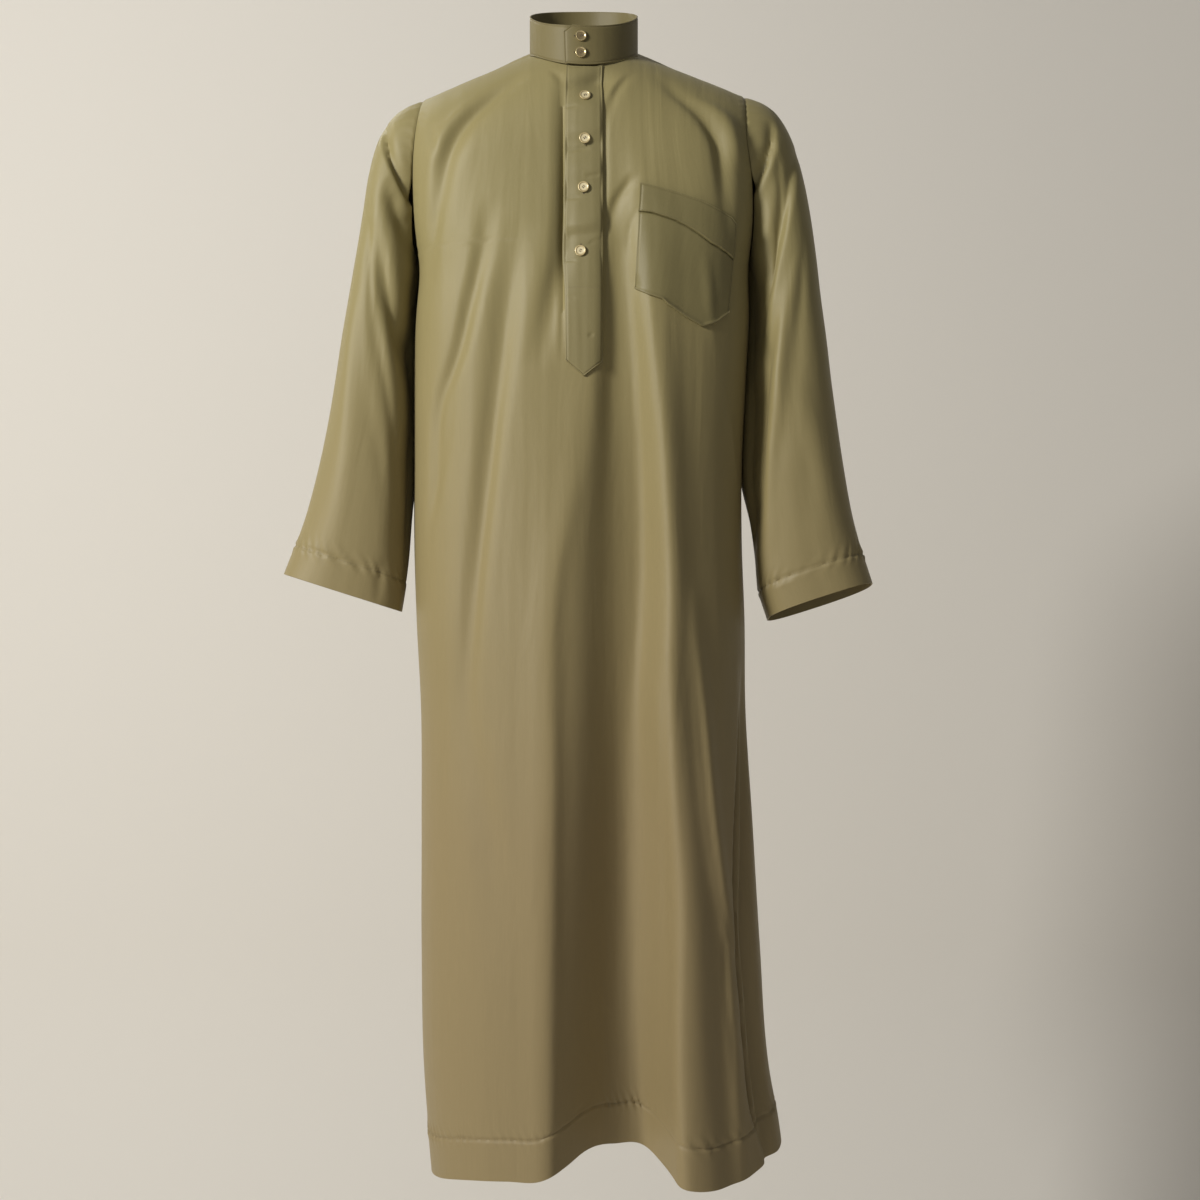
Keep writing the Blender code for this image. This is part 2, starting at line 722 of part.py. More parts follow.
def sheet_wall(name, outer, inner, material, closed=False):
    """A wall between an outer and an inner grid of points, with rims on its open edges."""
    rows, columns = outer.shape[:2]
    points = np.concatenate([outer.reshape(-1, 3), inner.reshape(-1, 3)])
    offset = rows * columns
    faces = []
    steps = columns if closed else columns - 1

    def at(row, column):
        return row * columns + column % columns

    for row in range(rows - 1):
        for column in range(steps):
            a = at(row, column)
            b = at(row, column + 1)
            c = at(row + 1, column + 1)
            d = at(row + 1, column)
            faces += [(a, b, c), (a, c, d)]
            faces += [(a + offset, c + offset, b + offset)]
            faces += [(a + offset, d + offset, c + offset)]
    border = [(at(0, i + 1), at(0, i)) for i in range(steps)]
    border += [(at(rows - 1, i), at(rows - 1, i + 1)) for i in range(steps)]
    if not closed:
        border += [(at(i, 0), at(i + 1, 0)) for i in range(rows - 1)]
        border += [(at(i + 1, columns - 1), at(i, columns - 1)) for i in range(rows - 1)]
    for a, b in border:
        faces += [(a, b, b + offset), (a, b + offset, a + offset)]
    return add_object(name, points, faces, material)


def armhole_ring(to_left, count):
    """Even points round the armhole, from the shoulder seam down the front and up the back."""
    sign = 1 if to_left else -1
    plane = sign * (ARMHOLE_X + SEAM_GAP / 2)
    shares = np.linspace(0, 1, ARMHOLE_STEPS)
    paths = []
    for front in (True, False):
        x = np.full_like(shares, plane)
        top = top_climb(x, front)
        climb = ARMPIT_HEIGHT + (top - ARMPIT_HEIGHT) * shares
        half_width = section_sizes(climb, np.full_like(climb, to_left, bool))[0]
        edge = sign * np.minimum(np.abs(plane), half_width)
        path = plain_body(turn_at(edge, climb, front), climb, front)
        path[:, 0] = plane
        path[0, 1] = 0
        paths.append(path)
    loop = np.concatenate([paths[0][::-1], paths[1][1:]])
    lengths = np.linalg.norm(np.diff(loop, axis=0), axis=1)
    reached = np.concatenate([[0], np.cumsum(lengths)])
    at = np.arange(count) / count * reached[-1]
    return np.stack([np.interp(at, reached, loop[:, i]) for i in range(3)], axis=1)


def sleeve_rings(table, folds, to_left, count):
    """Outer points of a sleeve, ring by ring from the armhole to the wrist."""
    sign = 1 if to_left else -1
    angle = np.arange(count) / count * 2 * math.pi
    power = 2 / SLEEVE_ROUNDNESS
    out = np.sign(np.cos(angle)) * np.abs(np.cos(angle)) ** power
    ahead = np.sign(np.sin(angle)) * np.abs(np.sin(angle)) ** power
    rings = []
    for outer_x, outer_z, inner_x, inner_z, mid_y, deep, drop in table:
        x = (outer_x + inner_x) / 2 + (outer_x - inner_x) / 2 * out
        y = mid_y - deep * ahead
        z = (outer_z + inner_z) / 2 + (outer_z - inner_z) / 2 * out - drop * (y - mid_y)
        rings.append(np.stack([sign * x, y, z], axis=1))
    rings = np.array(rings)
    change = armhole_ring(to_left, count) - rings[0]
    for step in range(ARMHOLE_BLEND_RINGS):
        rings[step] += change * (1 - step / ARMHOLE_BLEND_RINGS) ** 2
    share = np.linspace(0, 1, len(table))[:, None] + 0 * angle
    normal = ring_normals(rings, to_left)
    push = np.zeros_like(share)
    for rows in folds.values():
        away = angle - np.radians(along(rows, 1, share))
        away = (away + math.pi) % (2 * math.pi) - math.pi
        size = away * along(table_by_share(table), 6, share) / along(rows, 3, share)
        inside = (share >= rows[0][0]) & (share <= rows[-1][0])
        push += np.where(inside, along(rows, 2, share) * np.exp(-(size**2)), 0)
    return rings + normal * push[..., None]


def table_by_share(table):
    last = len(table) - 1
    return tuple((index / last, *row) for index, row in enumerate(table))


def ring_normals(rings, to_left):
    """Outward normals of a tube made of rings."""
    around = np.roll(rings, -1, axis=1) - np.roll(rings, 1, axis=1)
    down = np.gradient(rings, axis=0)
    normal = np.cross(around, down)
    if not to_left:
        normal = -normal
    return normal / np.linalg.norm(normal, axis=-1, keepdims=True)


def sleeve(name, table, folds, to_left, material):
    outer = sleeve_rings(table, folds, to_left, SLEEVE_COLUMNS)
    inner = outer - ring_normals(outer, to_left) * CLOTH_WALL
    plane = ARMHOLE_X + SEAM_GAP / 2
    if to_left:
        inner[0, :, 0] = np.maximum(inner[0, :, 0], plane)
        return sheet_wall(name, outer, inner, material, True)
    inner[0, :, 0] = np.minimum(inner[0, :, 0], -plane)
    return sheet_wall(name, outer[::-1], inner[::-1], material, True)


def collar_points(turns, share, depth, clip=0.0):
    """Points of the collar stand at a share of its height, depth under its outside."""
    lap = ease((-turns - COLLAR_LAP_START) / COLLAR_LAP_SPREAD) * COLLAR_LAP_LIFT
    radius = NECK_RADIUS + lap - depth
    forward = np.cos(np.radians(turns))
    y = NECK_MIDDLE_Y - radius * forward + COLLAR_LEAN * share * forward
    low = ring_height(turns) + COLLAR_SEAT
    tilt = COLLAR_TOP_TILT * forward + COLLAR_TOP_ROUND * forward**2
    high = COLLAR_TOP_SIDE - tilt - clip
    z = low + (high - low) * share
    return np.stack([radius * np.sin(np.radians(turns)), y, z], -1)


def collar_wall():
    """Outer and inner points of the collar stand, from its covered end round to its lapped end."""
    clip_start = COLLAR_LAP_END + COLLAR_CLIP_TURN
    turns = np.linspace(COLLAR_UNDER_END, clip_start, COLLAR_COLUMNS)
    turns = np.append(turns, COLLAR_LAP_END)
    clip = np.zeros(len(turns))
    clip[-1] = COLLAR_CLIP
    shares = (0.0, 0.5, 1.0)
    outer = [collar_points(turns, share, 0.0, clip) for share in shares]
    inner = [collar_points(turns, share, COLLAR_WALL, clip) for share in shares]
    return np.array(outer)[:, ::-1], np.array(inner)[:, ::-1]


def collar_place(turn, share):
    """Point and outward normal on the collar stand."""
    near = np.array([turn, turn + NORMAL_STEP])
    point, beside = collar_points(near, share, 0.0)
    above = collar_points(near, share + NORMAL_TURN, 0.0)[0]
    normal = np.cross(beside - point, above - point)
    return point, normal / np.linalg.norm(normal)


def button(name, centre, normal, material):
    """A turned button with a raised rim and a shallow dish, its back towards the cloth."""
    side = np.cross(normal, np.array([0.0, 0.0, 1.0]))
    side = side / np.linalg.norm(side)
    up = np.cross(side, normal)
    points = [centre]
    for radius, height in BUTTON_PROFILE:
        for step in range(BUTTON_STEPS):
            angle = 2 * math.pi * step / BUTTON_STEPS
            spoke = side * math.cos(angle) + up * math.sin(angle)
            points.append(centre + spoke * radius + normal * height)
    points.append(centre + normal * BUTTON_PROFILE[-1][1])
    last = len(points) - 1
    faces = []
    for step in range(BUTTON_STEPS):
        after = (step + 1) % BUTTON_STEPS
        faces.append((0, 1 + step, 1 + after))
        for ring in range(len(BUTTON_PROFILE) - 1):
            low = 1 + ring * BUTTON_STEPS
            high = low + BUTTON_STEPS
            faces.append((low + step, high + step, high + after))
            faces.append((low + step, high + after, low + after))
        high = 1 + (len(BUTTON_PROFILE) - 1) * BUTTON_STEPS
        faces.append((high + step, last, high + after))
    return add_object(name, np.array(points), faces, material)


def placket_wall(turn, climb):
    """Points of the placket, taken from the front's own grid and moved out."""
    first = FRONT_SIDE_COLUMNS + NECK_SIDE_COLUMNS - 1
    start = SKIRT_ROWS + 2
    columns = slice(first, first + PLACKET_COLUMNS)
    climb = climb.copy()
    climb[-1] -= PLACKET_TOP_DROP
    turn = turn[start - 2 :, columns]
    climb = climb[start - 2 :, columns]
    outer, inner, _ = body_wall(turn, climb, True, PLACKET_WALL, SEAM_GAP)
    point = 1 - np.abs(np.linspace(-1, 1, PLACKET_COLUMNS))
    for side in (outer, inner):
        side[1] += (side[0] - side[1]) * point[:, None]
    return outer[1:], inner[1:]


def grid_triangles(outer):
    """Corners of the faces between the points of a grid."""
    a = outer[:-1, :-1].reshape(-1, 3)
    b = outer[:-1, 1:].reshape(-1, 3)
    c = outer[1:, 1:].reshape(-1, 3)
    d = outer[1:, :-1].reshape(-1, 3)
    return np.concatenate([np.stack([a, b, c], 1), np.stack([a, c, d], 1)])


def on_faces(triangles, x, z):
    """Point and normal where the faces of a grid pass at x and height z."""
    first, second, third = triangles[:, 0], triangles[:, 1], triangles[:, 2]
    one = second - first
    two = third - first
    size = one[:, 0] * two[:, 2] - one[:, 2] * two[:, 0]
    size = np.where(np.abs(size) < TINY, TINY, size)
    right = x - first[:, 0]
    up = z - first[:, 2]
    share_one = (right * two[:, 2] - up * two[:, 0]) / size
    share_two = (one[:, 0] * up - one[:, 2] * right) / size
    inside = np.minimum(np.minimum(share_one, share_two), 1 - share_one - share_two)
    points = first + one * share_one[:, None] + two * share_two[:, None]
    hit = np.where(inside > -TINY)[0]
    best = hit[np.argmin(points[hit, 1])]
    normal = np.cross(one[best], two[best])
    return points[best], normal / np.linalg.norm(normal)


def pocket_wall(front_outer):
    """Points of the pocket, laid on the front's own faces and moved out."""
    across = np.linspace(0, 1, POCKET_COLUMNS)
    top = np.array([(s, *p) for s, p in zip(POCKET_SHARES, POCKET_TOP)])
    bottom = np.array([(s, *p) for s, p in zip(POCKET_SHARES, POCKET_BOTTOM)])
    chest = front_outer[SKIRT_ROWS:, FRONT_SIDE_COLUMNS:]
    triangles = grid_triangles(chest)
    outer = []
    inner = []
    for share in POCKET_ROW_SHARES[::-1]:
        outer_row = []
        inner_row = []
        for s in across:
            start = np.array([np.interp(s, top[:, 0], top[:, i]) for i in (1, 2)])
            end = np.array([np.interp(s, bottom[:, 0], bottom[:, i]) for i in (1, 2)])
            x, z = start + (end - start) * share
            point, normal = on_faces(triangles, x, z)
            raise_by = POCKET_BAND_RAISE if share <= POCKET_BAND_SHARE else 0
            outer_row.append(point + normal * (POCKET_GAP + POCKET_WALL + raise_by))
            inner_row.append(point + normal * POCKET_GAP)
        outer.append(outer_row)
        inner.append(inner_row)
    return np.array(outer), np.array(inner)


def build():
    for thing in list(bpy.data.objects):
        bpy.data.objects.remove(thing)
    cloth = cloth_material("olive_sateen", (0.27, 0.215, 0.115), 0, 0.55)
    band = cloth_material("olive_sateen_band", (0.25, 0.20, 0.105), 0, 0.55)
    cream = cloth_material("cream_button", (0.78, 0.70, 0.50), 0, 0.3)
    gold = cloth_material("gold_button", (0.72, 0.55, 0.25), 1, 0.25)

    turn, climb = panel_grid(True)
    outer, inner, _ = body_wall(turn, climb, True, CLOTH_WALL, -CLOTH_WALL)
    front_outer = outer
    sheet_wall("front", outer, inner, cloth)
    back_turn, back_climb = panel_grid(False)
    outer, inner, _ = body_wall(back_turn, back_climb, False, CLOTH_WALL, -CLOTH_WALL)
    sheet_wall("back", outer, inner, cloth)
    sleeve("sleeve_right", RIGHT_SLEEVE, RIGHT_SLEEVE_FOLDS, False, cloth)
    sleeve("sleeve_left", LEFT_SLEEVE, LEFT_SLEEVE_FOLDS, True, cloth)

    outer, inner = placket_wall(turn, climb)
    sheet_wall("placket", outer, inner, band)
    placket_outer = outer
    outer, inner = pocket_wall(front_outer)
    sheet_wall("chest_pocket", outer, inner, cloth)
    outer, inner = collar_wall()
    sheet_wall("collar_stand", outer, inner, band)
    triangles = grid_triangles(placket_outer)
    for count, place in enumerate(zip(PLACKET_BUTTON_X, PLACKET_BUTTONS), 1):
        centre, normal = on_faces(triangles, *place)
        button(f"placket_button_{count}", centre + normal * BUTTON_SEAT, normal, cream)
    for count, share in enumerate(COLLAR_BUTTON_SHARES, 1):
        centre, normal = collar_place(COLLAR_BUTTON_TURN, share)
        button(f"collar_button_{count}", centre + normal * BUTTON_SEAT, normal, gold)


build()
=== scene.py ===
import math

import bmesh
import bpy
import numpy as np
from mathutils import Matrix, Vector


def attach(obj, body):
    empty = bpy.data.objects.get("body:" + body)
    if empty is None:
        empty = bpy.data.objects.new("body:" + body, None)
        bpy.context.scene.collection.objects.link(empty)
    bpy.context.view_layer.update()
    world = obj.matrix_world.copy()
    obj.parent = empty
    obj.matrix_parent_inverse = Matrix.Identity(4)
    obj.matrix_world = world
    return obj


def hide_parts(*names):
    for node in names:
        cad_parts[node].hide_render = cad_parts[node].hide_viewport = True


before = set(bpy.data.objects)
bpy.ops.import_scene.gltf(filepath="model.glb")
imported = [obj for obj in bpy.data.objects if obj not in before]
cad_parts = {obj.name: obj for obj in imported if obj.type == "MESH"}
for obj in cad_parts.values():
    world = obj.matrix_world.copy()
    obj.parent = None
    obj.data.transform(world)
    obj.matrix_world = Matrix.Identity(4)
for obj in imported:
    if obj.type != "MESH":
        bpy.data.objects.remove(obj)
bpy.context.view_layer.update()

# Thobe robe, dressed in cloth. Sizes are millimetres until the meshes are made.
# +Z is up, the front looks along -Y, and the wearer's left is +X.
# The origin is the middle of the neck, level with the neck ends of the shoulder seams.
MM = 0.001
CLOTH_WALL = 0.9
SEAM_GAP = 0.04

# Body sections, from the top down: how far the cloth stands from the middle line at each height.
# height, wearer's right half width, wearer's left half width, front depth, back depth, squareness
BODY_SECTIONS = (
    (-100, 216, 215, 112, 108, 3.6),
    (-160, 214, 213, 116, 110, 3.6),
    (-215, 210, 210, 121, 112, 3.4),
    (-265, 203.85, 203.85, 125, 113, 3.2),
    (-320, 208, 205, 128, 114, 3.0),
    (-400, 211, 201, 130, 115, 2.8),
    (-500, 211, 196.5, 133, 117, 2.6),
    (-600, 211, 196.5, 137, 120, 2.5),
    (-700, 208, 200, 141, 123, 2.5),
    (-800, 203, 201, 145, 127, 2.4),
    (-950, 202, 210, 149, 133, 2.4),
    (-1100, 202, 219, 151, 139, 2.4),
    (-1250, 199, 230, 152, 144, 2.4),
    (-1320, 194, 242, 152, 147, 2.4),
    (-1400, 187, 252, 152, 150, 2.4),
)

# Shoulders, neck ring and armholes
SHOULDER_RIDGE_TOP = 3.5
SHOULDER_FALL = 0.44
SHOULDER_LEFT_EASING = 0.036
SHOULDER_SOFTNESS = 45.0
SHOULDER_SECTION_HEIGHT = -100.0
CAP_HEIGHT_NECK = 132.0
CAP_HEIGHT_LOSS = 42.0
NECK_RADIUS = 67.0
NECK_MIDDLE_Y = -18.0
NECK_RISE_SLOPE = 0.3955
NECK_RISE_EASING = -0.0010
NECK_RISE_REACH = 90.0
SEAM_FORWARD_NECK = 18.0
SEAM_FORWARD_SHOULDER = 15.0
ARMHOLE_X = 204.0
ARMPIT_HEIGHT = -265.0
ARMHOLE_CALM = 14.0
SIDE_CALM = 0.22
ARMPIT_BLEND = 60.0
SIDE_TURN = 90.0
SIDE_SEAM_RADIUS = 200.0

# Armhole seams: climb, half width at the wearer's right, half width at the wearer's left
ARMHOLE_LINE = (
    (-17, 199.5, 199),
    (-38, 200.5, 199),
    (-80, 204.5, 198.5),
    (-111, 207.5, 199),
    (-140, 209.5, 203),
    (-165, 210, 206.5),
    (-195, 209.5, 208.3),
    (-230, 207, 207),
    (-265, 204, 204),
)

# Hem height round the body: turn in degrees from the middle of the front towards the wearer's left
HEM_HEIGHTS = (
    (-180, -1370),
    (-140, -1372),
    (-105, -1378),
    (-90, -1378),
    (-68, -1374),
    (-50, -1365),
    (-32, -1360),
    (-20, -1358),
    (-8, -1345),
    (0, -1335),
    (15, -1332),
    (32, -1338),
    (40, -1360),
    (46, -1368),
    (58, -1366),
    (72, -1352),
    (90, -1340),
    (115, -1350),
    (145, -1365),
    (180, -1370),
)

# The broad hollow that falls from the placket to the hem between two standing folds
# height, x of right flank, its softness, x of left flank, its softness, depth
FRONT_HOLLOW = (
    (-110, 27, 9, 48, 12, 0),
    (-190, 27, 8, 54, 12, 4),
    (-260, 27, 8, 60, 10, 11),
    (-350, 27, 9, 68, 9, 15),
    (-430, 24, 12, 74, 9, 19),
    (-520, 20, 19, 82, 9, 27),
    (-620, 16, 26, 88, 10, 36),
    (-800, 13, 31, 85, 14, 48),
    (-980, 8, 33, 93, 20, 62),
    (-1180, 0, 32, 98, 20, 72),
    (-1400, -8, 26, 105, 8, 82),
)

# Folds of the front: height, x, depth (outwards is plus), reach to the right, reach to the left
FRONT_FOLDS = {
    "standing_fold": (
        (-130, 60, 0, 18, 24),
        (-255, 68, 5, 20, 24),
        (-330, 74, 7, 18, 24),
        (-434, 84, 10, 14, 22),
        (-553, 91, 11, 13, 22),
        (-696, 96, 12, 13, 22),
        (-791, 95, 12, 14, 24),
        (-886, 103, 13, 14, 26),
        (-1000, 114, 16, 14, 28),
        (-1240, 118, 21, 14, 32),
        (-1400, 128, 26, 15, 34),
    ),
    "hollow_edge": (
        (-500, -20, 0, 26, 12),
        (-640, -48, 4, 26, 12),
        (-900, -54, 7, 28, 12),
        (-1400, -56, 8, 28, 12),
    ),
    "right_chest_drag": (
        (-20, -78, 0, 12, 12),
        (-42, -99, -4, 12, 12),
        (-67, -125, -8, 11, 12),
        (-100, -153, -11, 10, 11),
        (-136, -170, -10, 10, 10),
        (-183, -180, -6, 11, 10),
        (-240, -188, -3, 11, 10),
        (-300, -192, 0, 10, 10),
    ),
    "right_chest_roll": (
        (-50, -122, 0, 12, 12),
        (-86, -155, 4, 12, 12),
        (-125, -177, 5, 12, 12),
        (-170, -186, 3, 12, 12),
        (-215, -190, 0, 12, 12),
    ),
    "left_chest_drag": (
        (-24, 86, 0, 10, 12),
        (-57, 108, -3, 9, 12),
        (-90, 140, -6, 8, 12),
        (-120, 157, -8, 7, 10),
        (-150, 162, -6, 7, 10),
        (-190, 165, -3, 8, 10),
        (-250, 168, 0, 9, 10),
    ),
    "left_chest_roll": (
        (-55, 128, 0, 12, 12),
        (-85, 160, 4, 12, 12),
        (-120, 174, 5, 12, 12),
        (-160, 181, 0, 12, 12),
    ),
    "placket_side_hollow": (
        (-24, -30, 0, 10, 12),
        (-60, -31, -3, 10, 14),
        (-130, -31, -4, 10, 14),
        (-200, -31, -6, 12, 14),
        (-254, -32, -8, 13, 13),
        (-314, -44, -6, 13, 12),
        (-400, -60, 0, 15, 12),
    ),
    "long_trough": (
        (-210, -90, 0, 20, 16),
        (-314, -102, -7, 18, 14),
        (-434, -114, -9, 15, 11),
        (-553, -127, -9, 14, 10),
        (-680, -141, -7, 14, 11),
        (-800, -148, -4, 16, 14),
        (-980, -122, -3, 24, 20),
        (-1120, -112, 0, 24, 20),
    ),
    "slanting_trough": (
        (-190, -118, 0, 10, 12),
        (-255, -127, -5, 9, 10),
        (-314, -141, -7, 9, 9),
        (-374, -156, -7, 9, 9),
        (-434, -178, -6, 9, 9),
        (-500, -184, -5, 9, 9),
        (-580, -188, 0, 10, 10),
    ),
    "left_fold_edge": (
        (-640, 124, 0, 10, 14),
        (-720, 128, 4, 10, 14),
        (-815, 136, 7, 10, 14),
        (-940, 147, 9, 10, 15),
        (-1044, 161, 8, 10, 14),
        (-1110, 176, 0, 10, 12),
    ),
    "left_low_fold": (
        (-1040, 158, 0, 10, 16),
        (-1110, 165, 5, 10, 16),
        (-1200, 170, 7, 10, 16),
        (-1300, 176, 6, 12, 18),
        (-1400, 182, 4, 12, 18),
    ),
    "left_side_trough": (
        (-740, 186, 0, 14, 12),
        (-850, 190, -8, 14, 12),
        (-980, 192, -14, 13, 12),
        (-1070, 192, -16, 13, 13),
        (-1150, 198, -16, 13, 13),
        (-1247, 206, -15, 13, 13),
        (-1320, 216, -12, 13, 13),
        (-1400, 230, -8, 13, 13),
    ),
}

# Folds of the back: the same columns
BACK_FOLDS = {
    "back_middle_fold": (
        (-300, 6, 0, 30, 26),
        (-560, 12, -5, 30, 26),
        (-900, 20, -13, 34, 30),
        (-1400, 26, -22, 38, 32),
    ),
    "back_right_fold": (
        (-250, -66, 0, 28, 28),
        (-520, -72, 6, 28, 28),
        (-900, -80, 9, 30, 30),
        (-1400, -88, 13, 32, 32),
    ),
    "back_right_trough": (
        (-420, -132, 0, 26, 26),
        (-700, -138, -7, 26, 26),
        (-1050, -144, -11, 28, 28),
        (-1400, -146, -14, 30, 30),
    ),
    "back_left_fold": (
        (-330, 84, 0, 28, 28),
        (-640, 90, 7, 28, 28),
        (-1000, 98, 11, 30, 30),
        (-1400, 104, 15, 32, 32),
    ),
    "back_left_trough": (
        (-500, 146, 0, 26, 26),
        (-800, 154, -8, 26, 26),
        (-1100, 164, -11, 28, 28),
        (-1400, 178, -13, 30, 30),
    ),
    "right_blade_drag": (
        (-110, -120, 0, 18, 16),
        (-160, -142, -4, 18, 16),
        (-230, -160, -4, 20, 18),
        (-300, -172, 0, 20, 18),
    ),
    "left_blade_drag": (
        (-100, 126, 0, 18, 16),
        (-150, 146, -5, 18, 16),
        (-220, 162, -5, 20, 18),
        (-290, 170, 0, 20, 18),
    ),
    "waist_drag": (
        (-130, -60, 0, 20, 20),
        (-230, -54, -4, 20, 20),
        (-360, -44, -4, 22, 20),
        (-470, -36, 0, 22, 20),
    ),
}

# A fold's tables follow its shaded side, and its bottom or crest lies this share of its reach beyond
SHADED_SIDE = 0.6

# How far the standing fold leans over the hollow beside it
FOLD_LEAN = ((-500, 0), (-700, 2), (-900, 6), (-1100, 10), (-1400, 17))
FOLD_LEAN_REACH = 22.0
FOLD_LEAN_CREST = 10.0

# Sleeves, from the shoulder to the wrist: the outer line, the inner line and the depth.
# outer x, outer height, inner x, inner height, middle y, half depth, how far the back hangs lower
RIGHT_SLEEVE = (
    (204.15, -50, 204.15, -265, 0, 70, 0),
    (221, -57, 206.2, -272, 0, 70, 0),
    (239, -72, 208.8, -285, 0, 70, 0),
    (256, -102, 211.8, -303, 0, 70, 0),
    (267, -145, 213.6, -328, -1, 70, 0.02),
    (274, -192, 214.2, -358, -2, 70, 0.03),
    (282, -242, 214.4, -392, -4, 70, 0.04),
    (291, -295, 214.4, -428, -6, 69, 0.05),
    (300, -348, 214.4, -466, -8, 67, 0.06),
    (308, -402, 214.4, -504, -10, 64, 0.07),
    (317, -456, 214.4, -542, -12, 61, 0.08),
    (329, -512, 214.8, -580, -13, 58, 0.07),
    (344, -568, 217.0, -618, -14, 55, 0.06),
    (359, -610, 221.5, -654, -15, 52, 0.05),
    (371, -641, 227.0, -687, -16, 50, 0.04),
)
LEFT_SLEEVE = (
    (204.15, -50, 204.15, -265, 0, 70, 0),
    (223, -55, 206.2, -272, 0, 70, 0),
    (242, -70, 208.4, -285, 0, 70, 0),
    (259, -101, 209.6, -303, 0, 70, 0),
    (272, -147, 209.2, -328, -1, 70, 0.02),
    (281, -194, 208.0, -360, -2, 70, 0.03),
    (288, -244, 206.6, -396, -4, 70, 0.04),
    (294, -297, 205.0, -434, -6, 69, 0.05),
    (301, -350, 203.4, -472, -8, 67, 0.06),
    (307, -403, 201.8, -508, -10, 64, 0.07),
    (314, -456, 203.0, -544, -12, 61, 0.08),
    (322, -510, 207.5, -580, -13, 58, 0.10),
    (332, -566, 212.0, -618, -14, 55, 0.12),
    (344, -612, 216.0, -656, -15, 52, 0.14),
    (357, -654, 228.5, -696, -16, 50, 0.15),
)
SLEEVE_ROUNDNESS = 2.6
SLEEVE_CREASE_EDGE = 0.18
BODY_SIDE_TURN = 208.0
BODY_SIDE_REACH = 24.0
ARMHOLE_BLEND_RINGS = 5

# How far a sleeve's inner back leans against the body: share of the length, right sleeve, left sleeve
BODY_SIDE_LEAN = (
    (0.0, 0, 0),
    (0.04, 7, 8),
    (0.14, 9, 11),
    (0.28, 8, 11),
    (0.50, 9, 14),
    (0.66, 8, 10),
    (0.78, 0, 0),
    (1.0, 0, 0),
)

# Sleeve folds: share of the length, turn from the outer line over the front in degrees, depth, reach
RIGHT_SLEEVE_FOLDS = {
    "elbow_trough": (
        (0.28, 40, 0, 15),
        (0.38, 62, -2, 15),
        (0.50, 92, -2.5, 15),
        (0.62, 122, -2, 16),
        (0.78, 138, -1.5, 16),
        (0.95, 140, 0, 16),
    ),
    "front_roll": (
        (0.40, 40, 0, 20),
        (0.62, 62, 4, 20),
        (0.80, 74, 5, 20),
        (1.0, 80, 2, 20),
    ),
    "back_trough": (
        (0.25, 300, 0, 18),
        (0.50, 285, -5, 18),
        (0.75, 262, -5, 18),
        (1.0, 250, -2, 18),
    ),
}
LEFT_SLEEVE_FOLDS = {
    "cap_trough": (
        (0.12, 60, 0, 11),
        (0.22, 84, -2, 11),
        (0.32, 112, -2, 12),
        (0.44, 140, 0, 13),
    ),
    "long_front_trough": (
        (0.34, 52, 0, 13),
        (0.48, 78, -2, 13),
        (0.62, 96, -2, 13),
        (0.78, 118, -2.5, 14),
        (0.95, 124, -1, 15),
    ),
    "front_roll": (
        (0.36, 80, 0, 14),
        (0.52, 104, 4, 14),
        (0.70, 76, 3, 20),
        (1.0, 72, 2, 20),
    ),
    "back_trough": (
        (0.20, 290, 0, 18),
        (0.45, 275, -5, 18),
        (0.70, 268, -5, 18),
        (1.0, 255, -2, 18),
    ),
}

